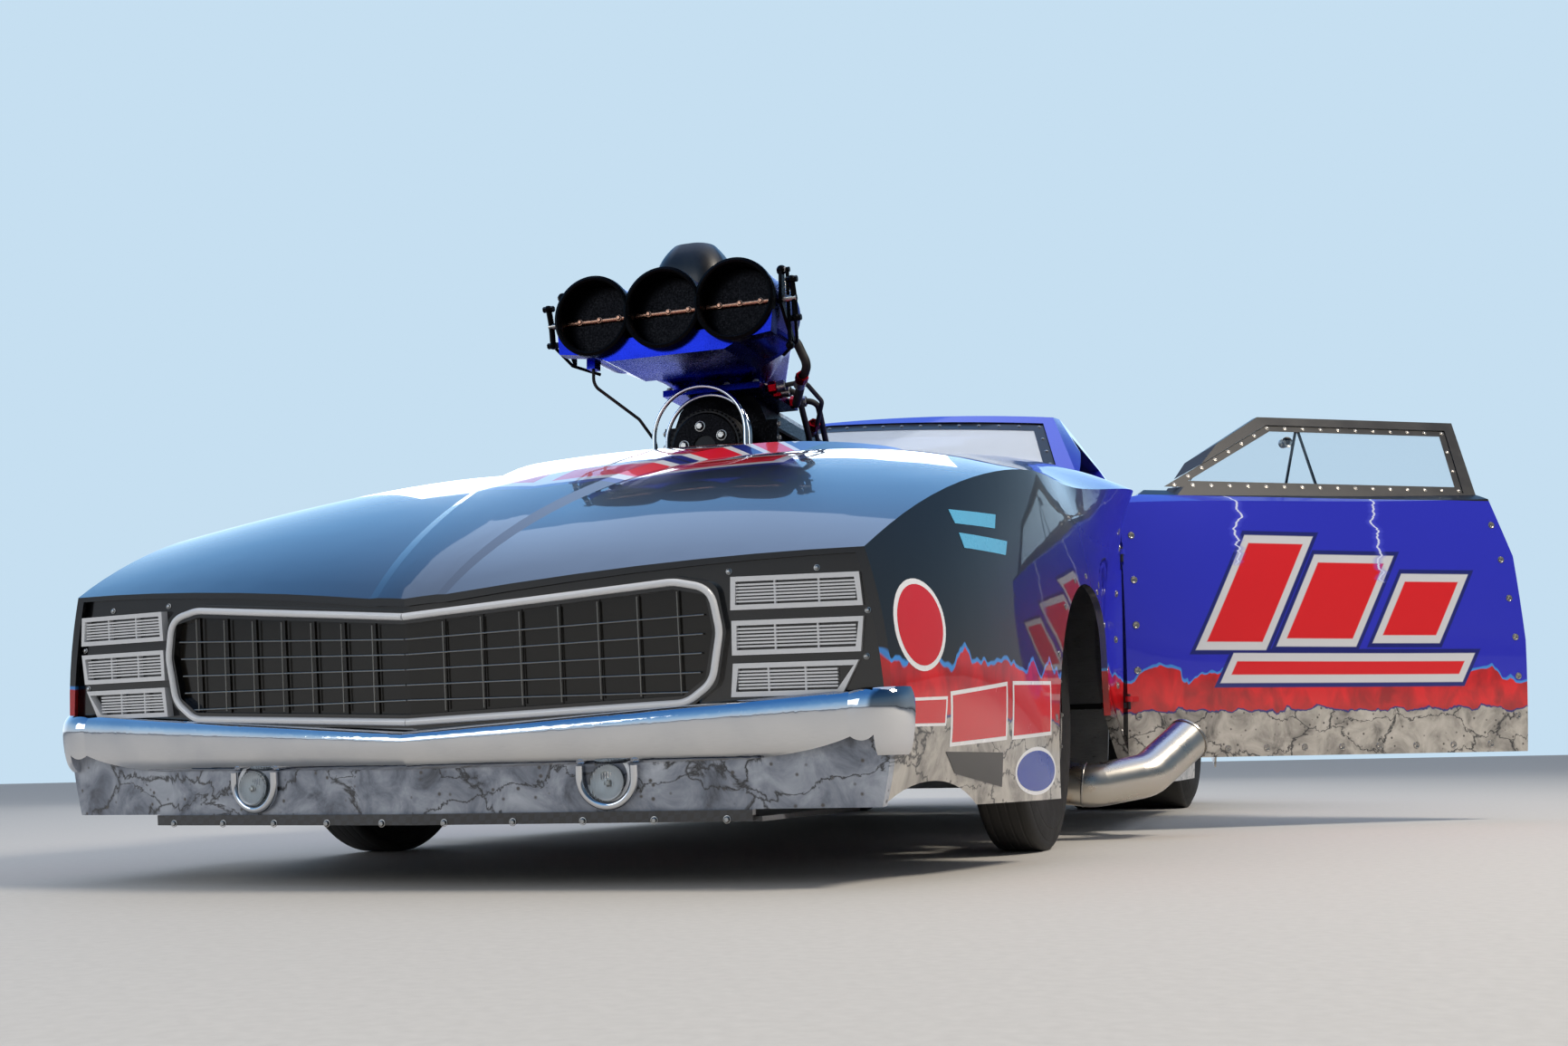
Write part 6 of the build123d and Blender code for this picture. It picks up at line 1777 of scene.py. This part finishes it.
@dataclass
class Wheels:
    """Lug nuts, centre caps, bead screws, valve stems and front brake discs."""

    front: WheelSize = WheelSize((797, 0, 330), 195.0, 55.0, 40.0, 32.0, 5, 16)
    rear: WheelSize = WheelSize((642, 2920, 438), 212.0, 212.0, 130.0, 48.0, 5, 24)

    def hardware(self, name: str, body: str, size: WheelSize, side: int) -> None:
        """Puts the bright hardware on the outer face of one wheel.

        Args:
            name: the start of the pieces' names.
            body: the body that they turn with.
            size: the wheel's sizes.
            side: 1 for the driver's side, -1 for the passenger's.
        """
        x, y, z = size.place
        out = Vector((side, 0, 0))

        def at(along: float, radius: float, angle: float) -> Vector:
            """Gives a place on the wheel from its middle plane, axis and top."""
            return car(side * (x + along), y + radius * math.sin(angle),
                       z + radius * math.cos(angle))

        bright, dark = Piece(name + "_nuts"), Piece(name + "_cap")
        for n in range(size.lugs):
            spot = at(size.hub_x, size.lug_r, 2 * math.pi * n / size.lugs)
            bright.lathe([(0.0001, 0.0), (0.0001, 0.0105), (0.003, 0.0105), (0.003, 0.009)], spot,
                         out, 20)
            bright.lathe([(0.003, 0.0088), (0.016, 0.0088), (0.020, 0.006), (0.020, 0.0)], spot,
                         out, 6)
        for n in range(size.bead_screws):
            spot = at(size.lip_x, size.bead_r + 1.5, 2 * math.pi * (n + 0.5) / size.bead_screws)
            bright.screw(spot + out * 0.0001, out, 0.0038, 0.004)
        dark.lathe([(0.0001, 0.0), (0.0001, 0.020), (0.010, 0.019), (0.016, 0.014), (0.018, 0.0)],
                   at(size.hub_x, 0, 0), out, 32)
        stem = at(size.lip_x - 3, size.bead_r - 12, 0.35)
        dark.lathe([(-0.012, 0.0), (-0.012, 0.0045), (0.016, 0.0042), (0.018, 0.0052),
                    (0.027, 0.0052), (0.028, 0.0)], stem, out, 12)
        bright.done("brushed_steel", body, "bright_steel")
        dark.done("black_anodised", body, "black_metal")

    def disc(self, side: int, body: str) -> None:
        """Fits a drilled steel brake disc and its bell behind one front rim.

        Args:
            side: 1 for the driver's side, -1 for the passenger's.
            body: the wheel's body.
        """
        x, y, z = self.front.place
        centre = car(side * x, y, z)
        out = Vector((side, 0, 0))
        steel, bell = Piece(body + "_brake_disc"), Piece(body + "_brake_bell")
        steel.lathe([(-0.052, 0.075), (-0.052, 0.142), (-0.044, 0.142), (-0.044, 0.075)], centre,
                    out, 72, closed=True)
        for n in range(24):
            angle = 2 * math.pi * n / 24
            reach = 0.090 + 0.016 * (n % 3)
            spot = centre + Vector((0, math.sin(angle), math.cos(angle))) * reach + out * -0.044
            steel.lathe([(0.0002, 0.0), (0.0002, 0.0042), (0.0006, 0.0046), (0.0006, 0.0)], spot,
                        out, 12)
        bell.lathe([(-0.043, 0.078), (-0.040, 0.078), (-0.038, 0.050), (-0.0222, 0.046),
                    (-0.0222, 0.037), (-0.034, 0.038), (-0.043, 0.066)], centre, out, 48,
                   closed=True)
        for n in range(6):
            angle = 2 * math.pi * n / 6
            bell.screw(centre + Vector((0, math.sin(angle), math.cos(angle))) * 0.072
                       - out * 0.0402, out, 0.004, 0.004)
        steel.done("brushed_steel", body, "bright_steel")
        bell.done("black_anodised", body, "black_metal")

    def build(self) -> None:
        """Makes the small pieces of all four wheels."""
        for side, word in ((1, "left"), (-1, "right")):
            self.hardware(f"front_wheel_{word}", f"front_wheel_{word}", self.front, side)
            self.hardware(f"rear_wheel_{word}", "rear_wheels", self.rear, side)
            self.disc(side, f"front_wheel_{word}")


@dataclass
class Cabin:
    """Harness, gauges, shifter, pedals, fire bottle and cage padding."""

    seat_x: float = 360.0

    def strap(self, piece: Piece, spots: Sequence[Point], half: float,
              across: Point = (1, 0, 0)) -> None:
        """Lays a flat web 2 mm thick.

        Args:
            piece: the piece that gets its faces.
            spots: the middle of its way, in millimetres.
            half: half its width in millimetres.
            across: the direction of its width.
        """
        side = Vector(across).normalized() * half / 1000
        path = [car(*spot) for spot in spots]
        rows = []
        for n, place in enumerate(path):
            ahead = (path[min(n + 1, len(path) - 1)] - path[max(n - 1, 0)]).normalized()
            out = side.cross(ahead).normalized()
            rows.append([(place - side, out), (place, out), (place + side, out)])
        piece.sheet(rows, 0.002)

    def harness(self) -> None:
        """Hangs the shoulder and lap webs over the seat, with their buckle."""
        webs, metal = Piece("harness_webs"), Piece("harness_buckle")
        x = self.seat_x
        for side in (-1, 1):
            self.strap(webs, [(x + side * 48, 2052, 930), (x + side * 48, 2026, 934),
                (x + side * 48, 2006, 916), (x + side * 46, 1972, 800), (x + side * 42, 1930, 630),
                (x + side * 34, 1886, 440), (x + side * 18, 1820, 352),
                (x + side * 10, 1760, 346)], 24)
            self.strap(webs, [(x + side * 150, 1846, 372), (x + side * 112, 1800, 352),
                (x + side * 60, 1770, 346), (x + side * 12, 1756, 344)], 24, (0, 1, 0.1))
        metal.lathe([(0.0, 0.0), (0.0, 0.034), (0.009, 0.034), (0.014, 0.026), (0.015, 0.0)],
                    car(x, 1756, 348), (0, -0.1, 1), 32)
        webs.done("harness_web", "car", "black_fabric")
        metal.done("brushed_steel", "car", "bright_steel")

    def gauges(self) -> None:
        """Sets six gauges and a row of switches in the dashboard, with no marks to read."""
        cups, dials, needles = Piece("gauge_rims"), Piece("gauge_dials"), Piece("gauge_needles")
        back = Vector((0, 1, 0))
        for n in range(6):
            centre = car(150 + 84 * n, 1120, 836)
            cups.lathe([(0.0001, 0.024), (0.0001, 0.031), (0.010, 0.031), (0.012, 0.028),
                        (0.008, 0.026), (0.006, 0.024)], centre, back, 36)
            dials.lathe([(0.0060, 0.0245), (0.0060, 0.0)], centre, back, 36)
            for k in range(9):
                a = math.radians(-130 + 32.5 * k)
                way = Vector((math.sin(a), 0, math.cos(a)))
                needles.tube([centre + back * 0.0064 + way * 0.018,
                              centre + back * 0.0064 + way * 0.022], 0.0006, 6)
            a = math.radians(-70 + 41 * n)
            way = Vector((math.sin(a), 0, math.cos(a)))
            needles.tube([centre + back * 0.0072, centre + back * 0.0072 + way * 0.017], 0.0009, 6)
        for n in range(7):
            base = car(-420 + 62 * n, 1120, 842)
            cups.lathe([(0.0001, 0.0), (0.0001, 0.009), (0.005, 0.008), (0.006, 0.0)], base,
                       (0, 1, 0), 14)
            cups.tube([base + Vector((0, 0.004, 0)), base + Vector((0, 0.018, 0.008))], 0.0025, 8)
        cups.done("brushed_steel", "car", "bright_steel")
        dials.done("body_black", "car", "black_plastic")
        needles.done("vinyl_white", "car", "black_plastic")

    def controls(self) -> None:
        """Fits the shifter, the pedals and the fire bottle with its straps."""
        bars, grips, bottle = Piece("shifter_and_pedals"), Piece("pedal_pads"), Piece("fire_bottle")
        bars.block(car(118, 1330, 126.8), car(182, 1470, 250), 0.006)
        bars.tube([car(150, 1400, 240), car(150, 1412, 420), car(158, 1432, 520)], 0.009, 12)
        grips.lathe([(0.0, 0.0), (0.002, 0.013), (0.020, 0.020), (0.036, 0.018), (0.046, 0.010),
                     (0.048, 0.0)], car(158, 1430, 516), (0.1, 0.2, 1), 24)
        for x, y in ((300, 985), (430, 1000)):
            bars.tube([car(x, 846, 420), car(x, 900, 380), car(x, y - 8, 250)], 0.010, 10)
            grips.slab([car(x - 32, y - 4, 205), car(x + 32, y - 4, 205), car(x + 32, y + 22, 290),
                        car(x - 32, y + 22, 290)], (0, -0.008, 0.003), 0.002)
        start, way = car(-420, 1420, 196), (0, 1, 0)
        bottle.lathe([(0.0, 0.0), (0.004, 0.045), (0.020, 0.062), (0.360, 0.062), (0.385, 0.045),
                      (0.395, 0.018), (0.430, 0.018), (0.432, 0.0)], start, way, 48)
        for y in (1500, 1700):
            bars.lathe([(-0.012, 0.0623), (-0.012, 0.0645), (0.012, 0.0645), (0.012, 0.0623)],
                       car(-420, y, 196), way, 48, closed=True)
            bars.block(car(-450, y - 12, 126.8), car(-390, y + 12, 136), 0.001)
        bars.done("black_anodised", "car", "black_metal")
        grips.done("black_rubber", "car", "black_rubber")
        bottle.done("vinyl_red", "car", "red_lens")

    def padding(self) -> None:
        """Wraps the cage near the driver's head in ribbed foam."""
        foam = Piece("cage_padding")
        for start, end in (((210, 2090, 1150), (520, 2090, 1150)),
                           ((636, 1400, 1141), (604, 2010, 1149.5))):
            a, b = car(*start), car(*end)
            length = (b - a).length
            profile = [(0.0, 0.0212), (0.0, 0.026), (0.004, 0.030)]
            count = int(length / 0.02)
            for n in range(1, count):
                profile += [(length * n / count - 0.003, 0.030), (length * n / count, 0.0292),
                            (length * n / count + 0.003, 0.030)]
            profile += [(length - 0.004, 0.030), (length, 0.026), (length, 0.0212)]
            foam.lathe(profile, a, b - a, 28)
        foam.done("black_rubber", "car", "black_rubber")

    def build(self) -> None:
        """Makes the cabin's small pieces."""
        self.harness()
        self.gauges()
        self.controls()
        self.padding()


@dataclass
class Tail:
    """Lamp bezels, bumper bolts, parachute straps and cans, and the spoiler's screws."""

    tail_y: float = 3860.0

    def lamps(self) -> None:
        """Frames each lamp and gives its face fine ribs."""
        frames, ribs = Piece("lamp_frames"), Piece("lamp_ribs")
        for side in (-1, 1):
            for x0, x1 in ((430, 540), (555, 665), (680, 790)):
                y, low, high = self.tail_y + 4.5, 656, 764
                corners = [(x0 - 4, low + 12), (x0 + 8, low), (x1 - 8, low), (x1 + 4, low + 12),
                           (x1 + 4, high - 12), (x1 - 8, high), (x0 + 8, high), (x0 - 4, high - 12)]
                frames.tube([car(side * x, y, z) for x, z in corners], 0.0038, 10, closed=True)
                for n in range(7):
                    z = 670 + n * 13.3
                    ribs.tube([car(side * (x0 + 5), self.tail_y + 16.2, z),
                               car(side * (x1 - 5), self.tail_y + 16.2, z)], 0.0016, 8)
        frames.done("chromed_steel", "car", "chrome")
        ribs.done("lens_red", "car", "red_lens")

    def bolts(self) -> None:
        """Puts domed bolts on the rear bumper and button screws along the spoiler and deck lid."""
        domes, screws = Piece("bumper_bolts"), Piece("deck_screws")
        for x in (-700, -300, 300, 700):
            domes.lathe([(0.0001, 0.014), (0.003, 0.0135), (0.007, 0.009), (0.008, 0.0)],
                        car(x, 3912, 485), (0, 1, 0), 24)
        lid = Skin("deck_lid")
        spots = [(x, y) for x in (-660, -440, -220, 0, 220, 440, 660) for y in (2830, 3760)
                 if abs(x) > 100 or y < 3000]
        spots += [(x, y) for x in (-660, 660) for y in (3060, 3300, 3540)]
        for x, y in spots:
            place, out = lid.meet(car(x, y, 1400), (0, 0, -1))
            screws.lathe([(0.0002, 0.0), (0.0002, 0.0105), (0.0016, 0.0098), (0.0016, 0.0)], place,
                         out, 20)
            screws.lathe([(0.0016, 0.0045), (0.0030, 0.0040), (0.0030, 0.0)], place, out, 6)
        wing = Skin("rear_spoiler")
        for n in range(13):
            place, out = wing.meet(car(-690 + 115 * n, 3850, 1400), (0, 0, -1))
            screws.screw(place + out * 0.0001, out, 0.0045, 0.004)
        domes.done("chromed_steel", "car", "chrome")
        screws.done("brushed_steel", "car", "bright_steel")

    def loop(self, x0: float, x1: float, z0: float, z1: float, corner: float,
             y: float) -> list[tuple[Vector, Vector]]:
        """Goes round an oblong with rounded corners.

        Args:
            x0: its left side.
            x1: its right side.
            z0: its bottom.
            z1: its top.
            corner: the radius of its corners.
            y: where it lies along the car.

        Returns:
            Places on it, each with its outward direction.
        """
        found = []
        for cx, cz, start in ((x1 - corner, z1 - corner, 0), (x0 + corner, z1 - corner, 90),
                (x0 + corner, z0 + corner, 180), (x1 - corner, z0 + corner, 270)):
            for step in range(7):
                a = math.radians(start + 15 * step)
                out = Vector((math.cos(a), 0, math.sin(a)))
                found.append((car(cx + corner * out.x, y, cz + corner * out.z), out))
        return found

    def parachutes(self) -> None:
        """Straps each parachute pack and puts its launcher can and pull ring on the back."""
        straps, cans, rings = Piece("pack_straps"), Piece("launcher_cans"), Piece("pull_rings")
        for side in (-1, 1):
            x0, x1 = (60, 260) if side > 0 else (-260, -60)
            for y in (3945, 4030, 4110):
                straps.sheet([self.loop(x0, x1, 580, 740, 50, y + step) for step in (0, 12, 24)],
                             0.0022, closed=True)
            middle = side * 160
            cans.lathe([(0.0002, 0.0), (0.0002, 0.046), (0.006, 0.046), (0.006, 0.038),
                        (0.062, 0.038), (0.066, 0.034), (0.066, 0.0)], car(middle, 4160, 668),
                       (0, 1, 0), 40)
            ring = [car(middle + 16 * math.cos(a), 4164 + 7 * math.sin(a), 606 + 16 * math.sin(a))
                    for a in (2 * math.pi * n / 28 for n in range(28))]
            rings.tube(ring, 0.0026, 8, closed=True)
            rings.lathe([(0.0002, 0.006), (0.006, 0.006), (0.008, 0.0)], car(middle, 4160, 622),
                        (0, 1, 0), 14)
        straps.done("harness_web", "car", "black_fabric")
        cans.done("black_anodised", "car", "black_metal")
        rings.done("red_anodised", "car", "anodised_blue")

    def build(self) -> None:
        """Makes the tail's small pieces."""
        self.lamps()
        self.bolts()
        self.parachutes()


@dataclass
class Bodywork:
    """Quarter-turn fasteners of clip and arches, exhaust beads and the front springs."""

    def head(self, piece: Piece, place: Vector, out: Vector, radius: float = 0.0095) -> None:
        """Adds one slotted quarter-turn head on a skin.

        Args:
            piece: the piece that gets its faces.
            place: where it sits.
            out: the direction out of the skin.
            radius: its radius.
        """
        piece.lathe([(0.0002, 0.0), (0.0002, radius), (0.0013, radius * 0.94),
                     (0.0015, radius * 0.76), (0.0010, radius * 0.66), (0.0010, 0.0)], place, out,
                    20)
        level = out.orthogonal().normalized()
        side = out.cross(level)
        corners = [place + out * 0.0010 + level * u * radius + side * v * radius
                   for u, v in ((-0.62, -0.1), (0.62, -0.1), (0.62, 0.1), (-0.62, 0.1))]
        piece.slab(corners, out * 0.0008)

    def fasteners(self) -> None:
        """Sets heads along the clip's rear edge, across its cowl and round the four arches."""
        clip, shell = Skin("front_clip"), Skin("body_shell")
        piece = Piece("clip_fasteners")
        for side in (-1, 1):
            way = (-side, 0, 0)
            for z in (260, 380, 500, 620, 740):
                self.head(piece, *clip.meet(car(side * 1300, 772, z), way))
            for n in range(7):
                self.head(piece, *clip.meet(car(side * (270 + 98 * n), 784, 1400), (0, 0, -1)))
            for n in range(8):
                a = math.radians(12 + 19.5 * n)
                y, z = -394 * math.cos(a), 190 + 394 * math.sin(a)
                self.head(piece, *clip.meet(car(side * 1300, y, z), way), 0.0065)
            for n in range(11):
                a = math.radians(14 + 15.2 * n)
                y, z = 2920 - 497 * math.cos(a), 300 + 497 * math.sin(a)
                self.head(piece, *shell.meet(car(side * 1300, y, z), way), 0.0065)
        piece.done("brushed_steel", "car", "bright_steel")

    def exhaust(self) -> None:
        """Rings each exhaust with weld beads and rolls the lip of its mouth."""
        beads = Piece("exhaust_beads")
        spots = (((600, 435, 190), (140, -4, -56)), ((745, 432.8, 143.9), (180, 4, -22)),
                 ((858, 435.5, 130.7), (180, 4, -22)))
        for side in (-1, 1):
            for place, way in spots:
                beads.lathe([(-0.0028, 0.0521), (-0.0016, 0.0533), (0, 0.0537), (0.0016, 0.0533),
                             (0.0028, 0.0521)], car(side * place[0], *place[1:]),
                            (side * way[0], *way[1:]), 48)
            tip, way = car(side * 1086, 640, 236), (side * 86, 140, 86)
            beads.lathe([(-0.004, 0.0522), (-0.004, 0.0545), (0.0015, 0.0548), (0.0025, 0.051),
                         (0.0012, 0.0484), (-0.002, 0.0478)], tip, way, 56, closed=True)
        beads.done("brushed_steel", "car", "bright_steel")

    def springs(self) -> None:
        """Winds the front coil springs round their sleeves."""
        coils = Piece("front_springs")
        for side in (-1, 1):
            coils.spring(car(side * 660, 0, 566), car(side * 660, 0, 754), 0.0485, 0.0055, 7)
        coils.done("red_anodised", "car", "anodised_blue")

    def build(self) -> None:
        """Makes the small pieces of the bodywork and what hangs below it."""
        self.fasteners()
        self.exhaust()
        self.springs()


def main() -> None:
    """Builds the scene in order, the camera first and then the car's pieces."""
    logging.basicConfig(level=logging.INFO, format="%(name)s: %(message)s")
    Studio().build()
    CarriedNodes().dress()
    for assembly in (Nose(), InjectorHat(), BlowerDrive(), Glazing(), Decals(), Doors(), Wheels(),
                     Cabin(), Bodywork(), Tail()):
        assembly.build()


if __name__ == "__main__":
    main()
